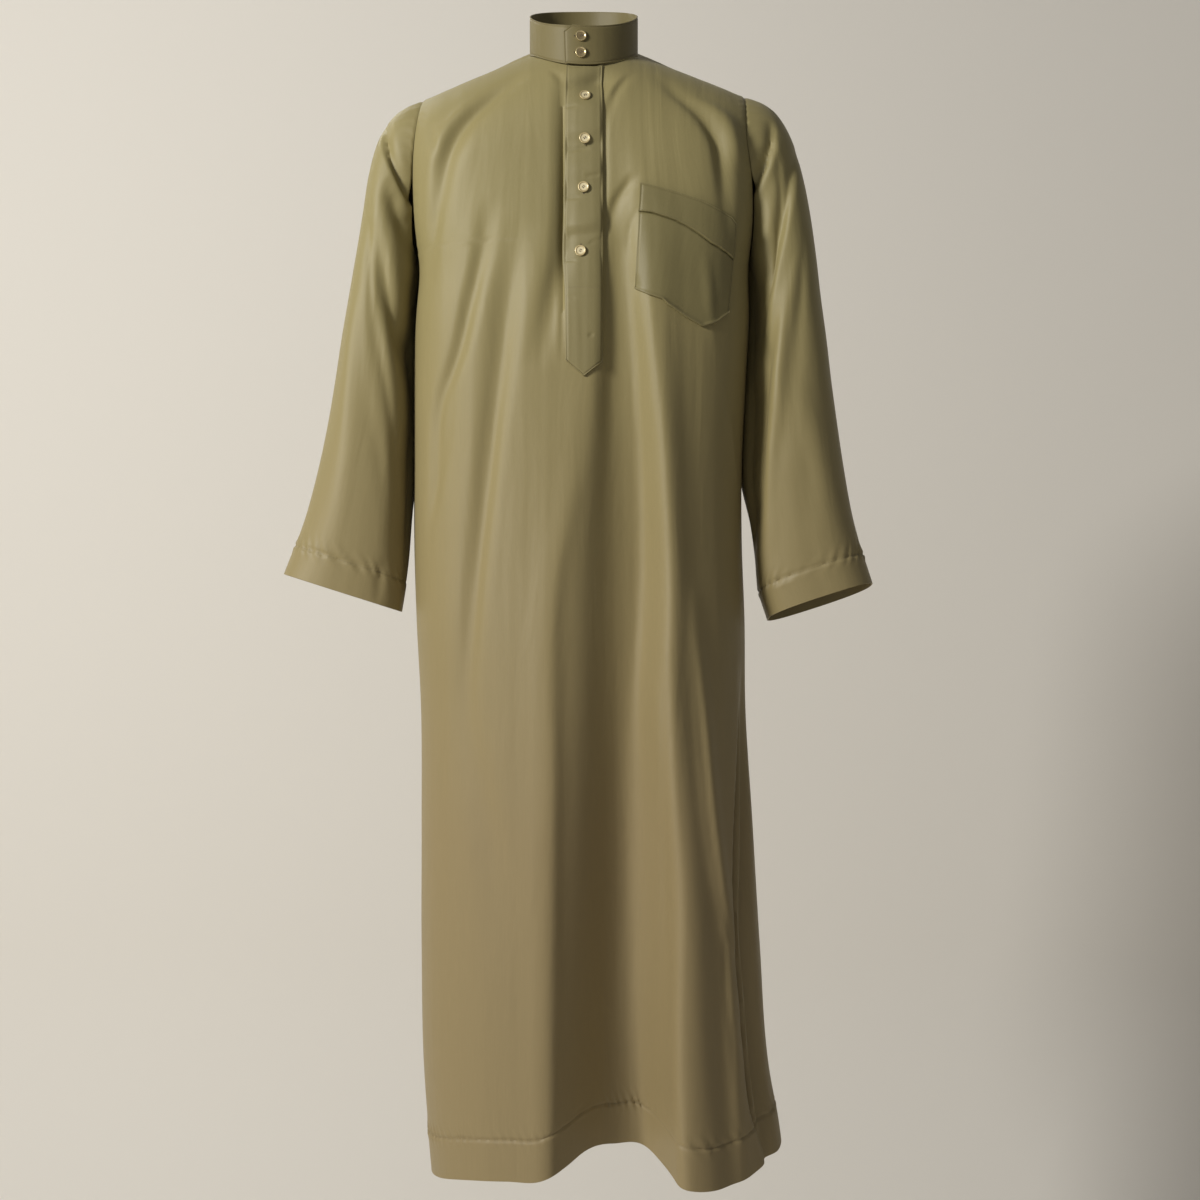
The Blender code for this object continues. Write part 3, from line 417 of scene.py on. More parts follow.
# Small creases of the front: height, x, depth, reach to the right, reach to the left
FRONT_CREASES = {
    "collar_right_drag": (
        (-26, 56.1, 0, 4, 7),
        (-51, 40.4, -2.2, 4, 7),
        (-75, 30.8, -2.2, 4, 7),
        (-102, 27.2, 0, 4, 7),
    ),
    "collar_right_roll": (
        (-28, 46.4, 0, 4, 4),
        (-52, 33.2, 1.2, 4, 4),
        (-74, 24.8, 0, 4, 4),
    ),
    "collar_left_tuck": (
        (-21, -41.5, 0, 4, 4),
        (-35, -33.1, -2.2, 4, 4),
        (-52, -27.1, 0, 4, 4),
    ),
    "placket_top_hollow": (
        (-20, 11, 0, 14, 14),
        (-32, 9, -3.5, 17, 18),
        (-46, 3, -7, 19, 20),
        (-60, -2, -4, 19, 20),
        (-80, -2, 0, 18, 18),
    ),
    "placket_right_ditch": (
        (-10, -26.4, 0, 3, 2.6),
        (-40, -26.4, -1.0, 3, 2.6),
        (-375, -26.4, -1.0, 3, 2.6),
        (-392, -26.4, 0, 3, 2.6),
    ),
    "placket_left_ditch": (
        (-10, 23.6, 0, 2.6, 4),
        (-40, 23.6, -0.7, 2.6, 4),
        (-375, 23.6, -0.7, 2.6, 4),
        (-392, 23.6, 0, 2.6, 4),
    ),
    "chest_curve": (
        (-161, 58.1, 0, 5, 9),
        (-176, 48.6, -3, 5, 9),
        (-194, 36.7, -3, 5, 9),
        (-214, 29.5, -3, 5, 9),
        (-239, 27.1, 0, 5, 9),
    ),
    "pocket_side_tuck": (
        (-200, 64.0, 0, 4, 4),
        (-223, 55.7, -1.6, 4, 4),
        (-244, 53.3, -1.6, 4, 4),
        (-268, 56.9, 0, 4, 4),
    ),
    "armhole_tuck": (
        (-90, -186.7, 0, 4, 4),
        (-114, -184.3, -1.6, 4, 4),
        (-140, -179.5, 0, 4, 4),
    ),
    "side_ridge": (
        (-411, 167.5, 0, 6, 6),
        (-470, 175.9, 1.4, 6, 6),
        (-559, 186.6, 0, 6, 6),
    ),
    "fold_edge_line": (
        (-731, 94.2, 0, 4, 5),
        (-779, 95.4, -2.5, 4, 5),
        (-908, 100.1, -2.5, 4, 5),
        (-1085, 103.6, -2.5, 4, 5),
        (-1297, 104.2, 0, 4, 5),
    ),
    "side_gap": (
        (-794, 190, 0, 4, 5),
        (-881, 187, -14, 4, 5),
        (-969, 183, -14, 4, 5),
        (-1059, 182, -14, 4, 5),
        (-1140, 187, -14, 4, 5),
        (-1230, 195, -14, 4, 5),
        (-1289, 203, -14, 4, 5),
        (-1338, 221, 0, 4, 5),
    ),
    "pocket_low_tuck": (
        (-282, 62, 0, 3, 3),
        (-295, 63, -1.4, 3, 3),
        (-308, 65, 0, 3, 3),
    ),
    "pocket_ridge": (
        (-251, 140, 0, 6, 6),
        (-316, 147, 1.6, 6, 6),
        (-378, 154, 0, 6, 6),
    ),
    "left_fold_line": (
        (-720, 126.9, 0, 4, 5),
        (-815, 135.2, -2, 4, 5),
        (-940, 145.9, -2, 4, 5),
        (-993, 153.0, -2, 4, 5),
        (-1044, 161.3, -2, 4, 5),
        (-1089, 174.4, -2, 4, 5),
        (-1136, 177.9, 0, 4, 5),
    ),
    "left_low_line": (
        (-1070, 162.5, 0, 4, 4),
        (-1092, 163.7, -2, 4, 4),
        (-1152, 166.1, -2, 4, 4),
        (-1189, 170.8, -2, 4, 4),
        (-1266, 175.6, 0, 4, 4),
    ),
    "slanting_tail": (
        (-372, -157.9, 0, 8, 8),
        (-492, -172.3, -2, 8, 8),
        (-552, -186.7, -2, 8, 8),
        (-624, -193.9, 0, 8, 8),
    ),
}

# Small creases of the back: the same columns
BACK_CREASES = {
    "neck_right_drag": (
        (-20, -62, 0, 7, 7),
        (-60, -84, -1.5, 8, 8),
        (-110, -98, 0, 8, 8),
    ),
    "neck_left_drag": (
        (-24, 60, 0, 7, 7),
        (-70, 80, -1.7, 8, 8),
        (-130, 92, 0, 8, 8),
    ),
    "small_of_back": (
        (-420, 32, 0, 8, 10),
        (-520, 24, -2.0, 8, 10),
        (-640, 30, 0, 8, 10),
    ),
    "right_seat_crease": (
        (-600, -104, 0, 7, 9),
        (-760, -110, -2.4, 7, 9),
        (-980, -112, 0, 7, 9),
    ),
    "left_seat_crease": (
        (-660, 116, 0, 8, 7),
        (-840, 124, -2.2, 8, 7),
        (-1100, 128, 0, 8, 7),
    ),
}

# Creases of the sleeves' fronts: reach above and to the left, reach below and to the right,
# then the x, the height and the depth of each bend
RIGHT_SLEEVE_LINES = {
    "cap_crease": (
        2.6,
        9,
        (-241, -82, 0),
        (-245, -94, -4),
        (-245, -108, -7),
        (-241, -124, -8),
        (-232, -145, -8),
        (-222, -165, -8),
        (-211, -184, -5),
    ),
    "under_cap_trough": (
        11,
        11,
        (-242, -158, 0),
        (-232, -185, -6),
        (-221, -212, -8),
        (-213, -235, -5),
        (-208, -262, 0),
    ),
    "long_trough": (
        13,
        10,
        (-258, -205, 0),
        (-248, -252, -5),
        (-235, -309, -9),
        (-219, -359, -9),
        (-209, -398, -5),
        (-206, -440, 0),
    ),
    "lower_crease": (
        9,
        9,
        (-262, -420, 0),
        (-248, -500, -1.6),
        (-240, -580, 0),
    ),
    "inner_turn": (
        16,
        12,
        (-212, -420, 0),
        (-214, -500, -5),
        (-218, -590, -6),
        (-222, -650, -3),
    ),
    "cuff_crease": (
        6,
        6,
        (-243, -618, 0),
        (-249, -645, -2.5),
        (-252, -668, -1),
    ),
}
LEFT_SLEEVE_LINES = {
    "cap_crease": (
        8,
        2.6,
        (229, -84, 0),
        (231, -98, -4),
        (230, -118, -6),
        (221, -144, -7),
        (204, -177, -5),
    ),
    "cap_roll": (
        4,
        7,
        (233, -100, 0),
        (235, -125, 2),
        (226, -150, 2.4),
        (212, -178, 1.5),
    ),
    "upper_trough": (
        14,
        5,
        (262, -112, 0),
        (255, -155, -5),
        (247, -190, -7),
        (240, -222, -8),
        (230, -262, -8),
        (221, -300, -7),
        (212, -345, -5),
        (206, -390, 0),
    ),
    "second_roll": (
        9,
        9,
        (243, -165, 0),
        (230, -206, 1.5),
        (218, -245, 1.5),
        (210, -270, 0),
    ),
    "front_edge": (
        8,
        12,
        (250, -230, 0),
        (246, -300, 1.2),
        (240, -368, 2),
        (233, -427, 2.5),
        (228, -489, 2.5),
        (227, -580, 1.5),
        (228, -620, 0),
    ),
    "inner_recess": (
        14,
        12,
        (228, -310, 0),
        (221, -368, -9),
        (213, -427, -14),
        (209, -489, -14),
        (208, -560, -9),
        (210, -615, 0),
    ),
    "lower_crease": (
        9,
        9,
        (262, -440, 0),
        (274, -520, -1.4),
        (280, -590, 0),
    ),
}

# Sewing: depth of the hems, how wide their puckers are and how far they run
HEM_DEPTH = 49.0
CUFF_DEPTH = 37.0
PUCKER_STEP = 12.0
PUCKER_DEPTH = 1.9
PUCKER_UP = 12.0
PUCKER_DOWN = 7.0
PUCKER_SLANT = 0.45
PUCKER_WANDER = 4
PUCKER_SMALL_SHARE = 0.35
PUCKER_SMALL_RATE = 3.3
SEAM_GROOVE = 1.3
SEAM_GROOVE_REACH = 1.8
HEM_STEP = 0.7
HEM_STEP_REACH = 2.5
SEAM_FADE = 3
SIDE_SEAM_FADE = 0.08
ARMPIT_FADE = 25
UNDERARM_FADE = 0.15

# A seam's unevenness: the length of each of its three waves, their shift with the seed, and how
# much the steady part, the slow waves and the quick wave add
UNEVEN_LENGTHS = (23, 41, 9)
UNEVEN_SHIFTS = (1, 2.3, 3.1)
UNEVEN_SHARES = (0.5, 0.35, 0.15)
FRONT_SEED = 1.0
BACK_SEED = 2.6
LEFT_ARMHOLE_SEED = 1.3
RIGHT_SLEEVE_SEED = 5.2
LEFT_SLEEVE_SEED = 4.0

# Faint upright ripples of hanging cloth: waves for each degree, their sway and its length
RIPPLE_DEPTH = 0.08
WIDE_RIPPLE = 0.55
WIDE_RIPPLE_SWAY = 1.6
WIDE_RIPPLE_LENGTH = 190
FINE_RIPPLE = 1.23
FINE_RIPPLE_LENGTH = 240
FINE_RIPPLE_SHARE = 0.6
SLEEVE_RIPPLES = 5
SLEEVE_RIPPLE_SWAY = 2
SLEEVE_RIPPLE_TURNS = 9
SLEEVE_RIPPLE_START = 30

# Placket, pocket and collar
PLACKET_RIGHT_X = -21.0
PLACKET_LEFT_X = 23.0
PLACKET_SIDE_END = -388.0
PLACKET_POINT_END = -407.0
PLACKET_GAP = 0.3
PLACKET_WALL = 1.9
PLACKET_PUFF = 0.9
PLACKET_BRIDGE = 0.6
PLACKET_TOP_DROP = 3.0
PLACKET_PUFF_REACH = 18
PLACKET_CREASE_EDGE = 3
PLACKET_CROSS_STITCH = -301.0
CROSS_STITCH_SHARE = 0.6
POCKET_TOP = (
    (0.0, 67.5, -175.0),
    (0.25, 105.0, -184.0),
    (0.52, 142.0, -194.5),
    (0.86, 177.0, -210.5),
    (1.0, 183.0, -219.5),
)
POCKET_BOTTOM = (
    (0.0, 63.0, -302.0),
    (0.20, 78.0, -311.0),
    (0.33, 93.0, -316.0),
    (0.38, 99.0, -322.0),
    (0.52, 120.0, -335.0),
    (0.66, 142.0, -346.0),
    (0.82, 158.0, -340.0),
    (1.0, 174.0, -327.0),
)
POCKET_BAND = ((0.0, 0.275), (0.12, 0.255), (0.42, 0.262), (0.75, 0.32), (1.0, 0.39))
POCKET_GAP = 0.5
POCKET_WALL = 2.5
POCKET_BAND_RAISE = 1.6
POCKET_FOLD_DEPTH = 2.6
POCKET_FOLD_ROUND = 0.9
POCKET_FOLD_REACH = 0.8
POCKET_RIM = 1.5
POCKET_RIM_IN = 1.8
POCKET_RIM_REACH = 1.6
POCKET_PUFF = 1.6
POCKET_PUFF_REACH = 40
POCKET_WIDTH = 118.0
POCKET_LENGTH = 136.0
BAND_REACH = 2.4
COLLAR_TOP_SIDE = 52.0
COLLAR_TOP_TILT = 26.75
COLLAR_TOP_ROUND = 3.75
COLLAR_WALL = 2.0
COLLAR_SEAT = 0.5
COLLAR_LEAN = 4.0
COLLAR_UNDER_END = 17.0
COLLAR_LAP_END = -378.0
COLLAR_LAP_START = 285.0
COLLAR_LAP_SPREAD = 90.0
COLLAR_LAP_LIFT = 5.0
COLLAR_PEAK = 7.5
COLLAR_PEAK_SPREAD = 27.0
COLLAR_PEAK_POWER = 1.4
COLLAR_PEAK_FOOT = 0.45
COLLAR_CLIP = 8.0
COLLAR_CLIP_TURN = 9.0
COLLAR_HEIGHT = 48.0

# Slack of the placket between its buttons: height and push outwards
PLACKET_WAVES = (
    (-30, 0.0),
    (-62, -0.5),
    (-90, 1.5),
    (-112, 1.6),
    (-128, -1.5),
    (-158, 1.6),
    (-182, -1.4),
    (-223, 1.6),
    (-246, -1.7),
    (-278, 0.2),
    (-410, 0.0),
)

# Small creases across the placket: height, rise per mm across, depth, reach, middle x, half width
PLACKET_CREASES = (
    (-46, 0.30, -2.2, 8, 0, 20),
    (-82, 0.10, -0.9, 1.6, -14, 7),
    (-112, -0.05, 0.5, 7, 4, 16),
    (-134, 0.08, -1.1, 2.4, -6, 12),
    (-166, 0.12, -0.9, 2.0, 12, 8),
    (-193, 0.06, -0.9, 2.0, -12, 8),
    (-226, 0.05, 0.7, 5, -2, 16),
    (-237, 0.10, -1.3, 5, 0, 18),
    (-246, 0.30, -1.0, 2.0, 14, 7),
    (-269, -0.04, -0.9, 1.6, -14, 6),
    (-314, -0.10, -0.5, 1.8, -15, 6),
    (-358, 0.10, -1.0, 2.0, 9, 3),
)

# Distances from an edge of a band at which its cloth is shaped, and where it is stitched
EDGE_STEPS = (0.0, 0.35, 0.8, 1.4, 2.0, 2.6, 3.4, 4.6)
STITCH_IN = 2.0
EDGE_ROUND = 0.9
EDGE_SHARE = 0.35
COLLAR_EDGE_DIP = 0.3
LEAST_WALL = 0.3
BAND_GROOVE = 0.6
BAND_GROOVE_REACH = 0.7

# Threads: a stitch every step, its length and thickness
STITCH_STEP = 3.0
STITCH_LENGTH = 2.3
STITCH_RADIUS = 0.23
STITCH_SIDES = 6
STITCH_TAPER = 0.45
STITCH_RISE = 0.05
STITCH_SINK = 0.16
HEM_STITCH_STEP = 3.6

# Buttons: where they sit, their turned face, their four holes and their thread
PLACKET_BUTTONS = ((2.0, -68), (2.0, -121), (0.5, -180), (-3.0, -257))
PLACKET_BUTTON_TURN = 0.3
COLLAR_BUTTON_SHARES = (0.72, 0.30)
COLLAR_BUTTON_PLACE = -362.3
COLLAR_BUTTON_TURN = 0.4
BUTTON_RADIUS = 6.6
BUTTON_THICK = 2.0
BUTTON_SEAT = 0.5
BUTTON_SIDES = 48
BUTTON_STEPS = ((0.5, -0.35), (0.9, 0.1), (0.55, 0.55), (0.5, 0.12))
BUTTON_ROUNDING = 0.42
BUTTON_ROUNDING_ANGLE = 28
BUTTON_SMOOTH_ANGLE = 40
BUTTON_DISH_RADIUS = 4.6
BUTTON_DISH_LEVEL = -0.8
BUTTON_HOLE_RADIUS = 0.55
BUTTON_HOLE_PLACE = 1.05
BUTTON_HOLE_SIDES = 16
BUTTON_HOLE_DEPTH = 8.0
STRAND_SINK = 0.6
STRANDS = ((0, -0.22), (0.12, 0.2))
STRAND_RADIUS = 0.24
STRAND_LENGTH = 2.2575
STRAND_SIDES = 8

# Buttonholes: a ring of close stitches round a slit
HOLE_LENGTH = 17.0
HOLE_RING = 1.0
HOLE_THREAD = 0.34
HOLE_RING_STEPS = 72
HOLE_THREAD_SIDES = 8
HOLE_STITCHES = 24
HOLE_STITCH_WAVE = 0.06
HOLE_NARROW = 0.72
HOLE_FLAT = 0.8
HOLE_SLIT = (0.62, HOLE_LENGTH - 1.2, 0.12)
HOLE_SMOOTH_ANGLE = 45

# Puckers of the armhole seams
ARMHOLE_PUCKER_REACH = 9.0
ARMHOLE_PUCKER_STEP = 13.0
ARMHOLE_PUCKER_DEPTH = 1.1
ARMHOLE_PUCKER_SLANT = 0.6
ARMHOLE_PUCKER_WANDER = 3

# The ditch along a seam, and the close columns that shape it, as shares of the way to the seam
DITCH_DEPTH = 0.8
DITCH_REACH = 1.2
DITCH_SHARES = (0.986, 0.9915, 0.9955, 0.9985, 1.0)
DITCH_RINGS = (0.0, 0.4, 0.9, 1.6, 2.6, 4.2)

# Studio: pale sweep, lights and camera
SWEEP_HALF_WIDTH = 4000.0
SWEEP_FRONT = -3600.0
SWEEP_BACK = 1500.0
SWEEP_RADIUS = 700.0
SWEEP_TOP = 2400.0
SWEEP_STEPS = 24
FLOOR_HEIGHT = -2050.0
LIGHT_AIM = (0.0, 0.0, -0.6)
LIGHTS = (
    ("soft_key", (-0.73, -0.65, 0.42), 3.6, 0.75, 180, 136.0, (1.0, 0.985, 0.94)),
    ("front_fill", (-0.1, -1.0, 0.5), 5.0, 2.5, 180, 5.0, (1.0, 0.97, 0.90)),
    ("back_glow", (-0.6, 0.62, 0.9), 2.1, 0.6, 80, 1.2, (1.0, 0.985, 0.94)),
)
AIR_COLOUR = (1.0, 0.985, 0.95, 1.0)
AIR_STRENGTH = 0.18
CAMERA_PLACE = (0.020, -2.6, -0.6725)
CAMERA_LENS = 62.4
CAMERA_SENSOR = 36.0
CAMERA_REACH = 50

# The layer turned up inside a hem
TURNING_GAP = 0.15
TURNING_WALL = 0.6

# Sateens: lit colour, shaded colour, colour towards the hem, sheen, strength of the weft's relief
SATEENS = {
    "olive_sateen": (
        (0.262, 0.221, 0.098),
        (0.244, 0.205, 0.088),
        (0.248, 0.190, 0.093),
        0.05,
        0.20,
    ),
    # This darker copy of the cloth is painted shade on the placket.
    "olive_band_sateen_painted_shade": (
        (0.222, 0.189, 0.085),
        (0.205, 0.173, 0.075),
        (0.208, 0.169, 0.08),
        0.05,
        0.22,
    ),
    # This darker copy of the cloth is painted shade on the pocket.
    "olive_pocket_sateen_painted_shade": (
        (0.198, 0.168, 0.073),
        (0.183, 0.156, 0.066),
        (0.187, 0.153, 0.07),
        0.05,
        0.20,
    ),
    # This darkest copy of the cloth is painted shade on the collar stand.
    "olive_collar_sateen_painted_shade": (
        (0.172, 0.142, 0.06),
        (0.148, 0.12, 0.049),
        (0.16, 0.128, 0.057),
        0.04,
        0.25,
    ),
}
HEM_TONE_START = -0.22
HEM_TONE_END = -0.95

# The cloth map's scale for each pattern of the sateen: across the warp, along the warp
WARP_SCALE = (1500, 22, 1)
WEFT_SCALE = (30, 1100, 1)
FLOAT_SCALE = (600, 2600, 1)
SLACK_SCALE = (34, 7, 1)
SHEEN_TINT = (0.95, 0.86, 0.62, 1)

# Threads: colour, shade
THREADS = {
    # olive_thread is darker than the cloth so the stitch lines read dark: partly the thread's own
    # colour, partly painted shade of the stitch grooves.
    "olive_thread": ((0.17, 0.125, 0.06), (0.11, 0.08, 0.038)),
    "brown_thread": ((0.09, 0.062, 0.03), (0.05, 0.034, 0.016)),
    "buttonhole_shadow": ((0.03, 0.022, 0.010), (0.02, 0.015, 0.007)),
}

# Button surfaces: colour, darker colour, metallic, roughness, coat
BUTTON_FINISHES = {
    "cream_horn": ((0.70, 0.62, 0.40), (0.52, 0.43, 0.25), 0.0, 0.25, 0.5),
    "brown_gold_rim": ((0.58, 0.47, 0.25), (0.40, 0.31, 0.15), 0.35, 0.28, 0.4),
    "pale_gold_rim": ((0.86, 0.72, 0.42), (0.70, 0.55, 0.27), 0.9, 0.18, 0.3),
    "dark_gold_dish": ((0.40, 0.31, 0.16), (0.22, 0.165, 0.08), 0.6, 0.3, 0.3),
}
BUTTON_UNEVENNESS = 0.16
WALL_COLOUR = (0.78, 0.745, 0.69)
WALL_SHADE = 0.985

# Grid sizes
HEM_ROWS = 20
PUCKER_ROWS = 10
PUCKER_ROWS_REACH = 1.5
SKIRT_ROWS = 166
UPPER_ROWS = 66
FRONT_SIDE_COLUMNS = 74
NECK_SIDE_COLUMNS = 15
PLACKET_COLUMNS = 9
FRONT_MIDDLE_COLUMNS = 2 * (NECK_SIDE_COLUMNS - 1) + PLACKET_COLUMNS
BACK_SIDE_COLUMNS = 72
BACK_NECK_COLUMNS = 39
HEM_TURN_HEIGHT = -1300.0
TOP_START = -20.0
TOP_PASSES = 6
NECK_COLUMNS_EVEN = -130.0
SLEEVE_COLUMNS = 128
SLEEVE_RINGS = 150
SLEEVE_CUFF_RINGS = 16
ARMHOLE_STEPS = 240
COLLAR_COLUMNS = 240
COLLAR_ROWS = 16
PLACKET_FINE_COLUMNS = 26
PLACKET_FINE_ROWS = 200
POCKET_COLUMNS = 56
POCKET_UPPER_ROWS = 22
POCKET_FOLD_ROWS = 13
POCKET_LOWER_ROWS = 52
NORMAL_STEP = 0.5
NORMAL_TURN = 0.05
COLLAR_NEAR_TURN = 0.5
COLLAR_NEAR_SHARE = 0.05
RING_INSIDE = 0.99999
TINY = 1e-6
FAR = 1e9
LENGTH_STEPS = 400
RIM_ANGLE = 60.0
STITCH_COLUMN = EDGE_STEPS.index(STITCH_IN)


def along(table, column, at):
    """Value of one column of a table at a place in its first column, on a smooth curve."""
    rows = np.array(table, float)
    if rows[0, 0] > rows[-1, 0]:
        rows = rows[::-1]
    places = rows[:, 0]
    values = rows[:, column]
    slopes = np.gradient(values, places)
    at = np.clip(at, places[0], places[-1])
    after = np.clip(np.searchsorted(places, at), 1, len(places) - 1)
    before = after - 1
    span = places[after] - places[before]
    share = (at - places[before]) / span
    start_weight = (1 + 2 * share) * (1 - share) ** 2
    end_weight = share**2 * (3 - 2 * share)
    start_slope = share * (1 - share) ** 2 * span
    end_slope = share**2 * (share - 1) * span
    curve = start_weight * values[before] + end_weight * values[after]
    return curve + start_slope * slopes[before] + end_slope * slopes[after]


def ease(share):
    """0 up to 0 and 1 from 1 on, with a smooth rise between them."""
    share = np.clip(share, 0, 1)
    return share * share * (3 - 2 * share)


def section_sizes(climb, to_left):
    """Half width, front depth, back depth and squareness of the body at a height."""
    climb = np.minimum(climb, SHOULDER_SECTION_HEIGHT)
    right = along(BODY_SECTIONS, 1, climb)
    left = along(BODY_SECTIONS, 2, climb)
    half_width = np.where(to_left, left, right)
    front = along(BODY_SECTIONS, 3, climb)
    back = along(BODY_SECTIONS, 4, climb)
    return half_width, front, back, along(BODY_SECTIONS, 5, climb)


def depth_share(x, half_width, squareness):
    """Share of a section's depth that is left at x."""
    reach = np.clip(np.abs(x) / half_width, 0, 1)
    return (1 - reach**squareness) ** (1 / squareness)


def turn_at(x, climb, front=True):
    """Turn in degrees of the place at x on the front or the back of a body section."""
    half_width, front_depth, back_depth, squareness = section_sizes(climb, x > 0)
    share = depth_share(x, half_width, squareness)
    depth = front_depth if front else -back_depth
    return np.degrees(np.arctan2(x, depth * share))


def neck_rise(points):
    """How far the cloth round the back of the neck climbs above the level of the sides."""
    behind = np.clip(points[..., 1] - NECK_MIDDLE_Y, 0, NECK_RADIUS)
    rise = NECK_RISE_SLOPE * behind + NECK_RISE_EASING * behind**2
    outside = np.hypot(points[..., 0], points[..., 1] - NECK_MIDDLE_Y) - NECK_RADIUS
    return rise * (1 - ease(outside / NECK_RISE_REACH))


def shoulder_ridge(x):
    """Height of the top of the shoulders, which fall a little less on the wearer's left."""
    soft = np.hypot(x, SHOULDER_SOFTNESS) - math.hypot(NECK_RADIUS, SHOULDER_SOFTNESS)
    fall = SHOULDER_FALL - SHOULDER_LEFT_EASING * ease(x / NECK_RADIUS)
    return SHOULDER_RIDGE_TOP - fall * soft


def armhole_x(climb, to_left):
    """How far out the armhole seam lies at a height."""
    right = along(ARMHOLE_LINE, 1, climb)
    return np.where(to_left, along(ARMHOLE_LINE, 2, climb), right)


def cap_height(x):
    """Height over which the cloth rounds over the shoulder at x."""
    return CAP_HEIGHT_NECK - CAP_HEIGHT_LOSS * (x / ARMHOLE_X) ** 2


def edge_y(x, front):
    """y of the top edge of a panel: the neck ring, then the shoulder seam."""
    inside = np.clip(1 - (x / NECK_RADIUS) ** 2, 0, None)
    ring = NECK_MIDDLE_Y + (-1 if front else 1) * NECK_RADIUS * np.sqrt(inside)
    out = np.clip((np.abs(x) - NECK_RADIUS) / (ARMHOLE_X - NECK_RADIUS), 0, 1)
    seam = -SEAM_FORWARD_NECK + (SEAM_FORWARD_NECK - SEAM_FORWARD_SHOULDER) * out
    seam = seam + (-1 if front else 1) * SEAM_GAP / 2
    return np.where(np.abs(x) < NECK_RADIUS, ring, seam)


def cap_of(x, front):
    """Start height, height and top angle of the rounded cap over the shoulder at x."""
    x = np.clip(x, -ARMHOLE_X, ARMHOLE_X)
    start = shoulder_ridge(x) - cap_height(x)
    sizes = section_sizes(np.full_like(x, SHOULDER_SECTION_HEIGHT), x > 0)
    share = depth_share(x, sizes[0], sizes[3])
    y = edge_y(x, front)
    own_depth = (sizes[1] if front else sizes[2]) * share
    other_depth = (sizes[2] if front else sizes[1]) * share
    crosses = y > 0 if front else y < 0
    depth = np.where(crosses, other_depth, own_depth)
    angle = np.arccos(np.clip(np.abs(y) / depth, 0, 1))
    top_angle = np.where(crosses, math.pi - angle, angle)
    return start, cap_height(x), top_angle


def plain_body(turn, climb, front):
    """Points of the body before its folds. climb is the height, then the way over the shoulder cap."""
    radians = np.radians(turn)
    half_width, front_depth, back_depth, squareness = section_sizes(
        climb, np.sin(radians) > 0
    )
    ahead = np.cos(radians) > 0
    depth = np.where(ahead, front_depth, back_depth)
    wide = (np.abs(np.sin(radians)) / half_width) ** squareness
    deep = (np.abs(np.cos(radians)) / depth) ** squareness
    radius = (wide + deep) ** (-1 / squareness)
    x = radius * np.sin(radians)
    y = -radius * np.cos(radians)
    start, height, _ = cap_of(x, front)
    angle = np.clip((climb - start) / height, 0, None)
    over = angle > math.pi / 2
    ratio = np.where(front, back_depth / front_depth, front_depth / back_depth)
    y = y * np.cos(angle) * np.where(over, ratio, 1)
    z = np.where(angle > 0, start + height * np.sin(angle), climb)
    points = np.stack([x, y, z], axis=-1)
    if not front:
        points[..., 2] += neck_rise(points)
    return points


def fold_push(folds, turn, climb, front):
    """How far the folds push the cloth out at a place."""
    push = np.zeros_like(turn)
    base = plain_body(turn, np.minimum(climb, ARMPIT_HEIGHT), front)
    radius = np.hypot(base[..., 0], base[..., 1])
    for rows in folds.values():
        fold_x = along(rows, 1, climb) + SHADED_SIDE * along(rows, 3, climb) * front
        depth = along(rows, 2, climb)
        away = turn - turn_at(fold_x, climb, front)
        away = np.radians((away + 180) % 360 - 180) * radius
        if not front:
            away = -away
        reach = np.where(away < 0, along(rows, 3, climb), along(rows, 4, climb))
        inside = (climb <= rows[0][0]) & (climb >= rows[-1][0])
        push += np.where(inside, depth * np.exp(-((away / reach) ** 2)), 0)
    return push


def hollow_push(x, climb):
    """How far the broad hollow of the front draws the cloth in."""
    right_flank = (x - along(FRONT_HOLLOW, 1, climb)) / along(FRONT_HOLLOW, 2, climb)
    left_flank = (along(FRONT_HOLLOW, 3, climb) - x) / along(FRONT_HOLLOW, 4, climb)
    share = (1 + np.tanh(right_flank)) * (1 + np.tanh(left_flank)) / 4
    depth = np.where(climb < FRONT_HOLLOW[0][0], along(FRONT_HOLLOW, 5, climb), 0)
    return -depth * share


def calm(points, turn, climb):
    """1 in the open cloth, 0 at the armhole and side seams, so that both edges of a seam meet."""
    x = points[..., 0]
    upper = ease((armhole_x(climb, x > 0) - np.abs(x)) / ARMHOLE_CALM)
    lower = ease(np.abs(np.cos(np.radians(turn))) / SIDE_CALM)
    share = ease((climb - ARMPIT_HEIGHT) / ARMPIT_BLEND + 1)
    return upper * share + lower * (1 - share)


def body_slopes(place, turn, climb, front):
    """Unit outward normal of a surface, from small steps round it and up it."""
    round_step = place(turn + NORMAL_TURN, climb, front)
    round_step = round_step - place(turn - NORMAL_TURN, climb, front)
    up_step = place(turn, climb + NORMAL_STEP, front)
    up_step = up_step - place(turn, climb - NORMAL_STEP, front)
    normal = np.cross(round_step, up_step)
    return normal / np.linalg.norm(normal, axis=-1, keepdims=True)


def uneven(way, seed):
    """A swing between 0 and 1 along a seam that doesn't repeat."""
    waves = [np.sin(way / n + shift * seed) for n, shift in zip(UNEVEN_LENGTHS, UNEVEN_SHIFTS)]
    steady, slow, quick = UNEVEN_SHARES
    return steady + slow * (waves[0] * waves[1]) + quick * waves[2]


def pucker(way, above, seed):
    """Relief of a stitched line: slanting puckers that fade above and below it, and its groove."""
    slanted = way + PUCKER_SLANT * above
    waves = np.sin(2 * math.pi * slanted / PUCKER_STEP + PUCKER_WANDER * uneven(way, seed + 1))
    small = np.sin(PUCKER_SMALL_RATE * math.pi * slanted / PUCKER_STEP + seed)
    waves = waves + PUCKER_SMALL_SHARE * small
    fade = np.exp(-((above / np.where(above > 0, PUCKER_UP, PUCKER_DOWN)) ** 2))
    size = PUCKER_DEPTH * uneven(way, seed)
    groove = SEAM_GROOVE * np.exp(-((above / SEAM_GROOVE_REACH) ** 2))
    return size * waves * fade - groove


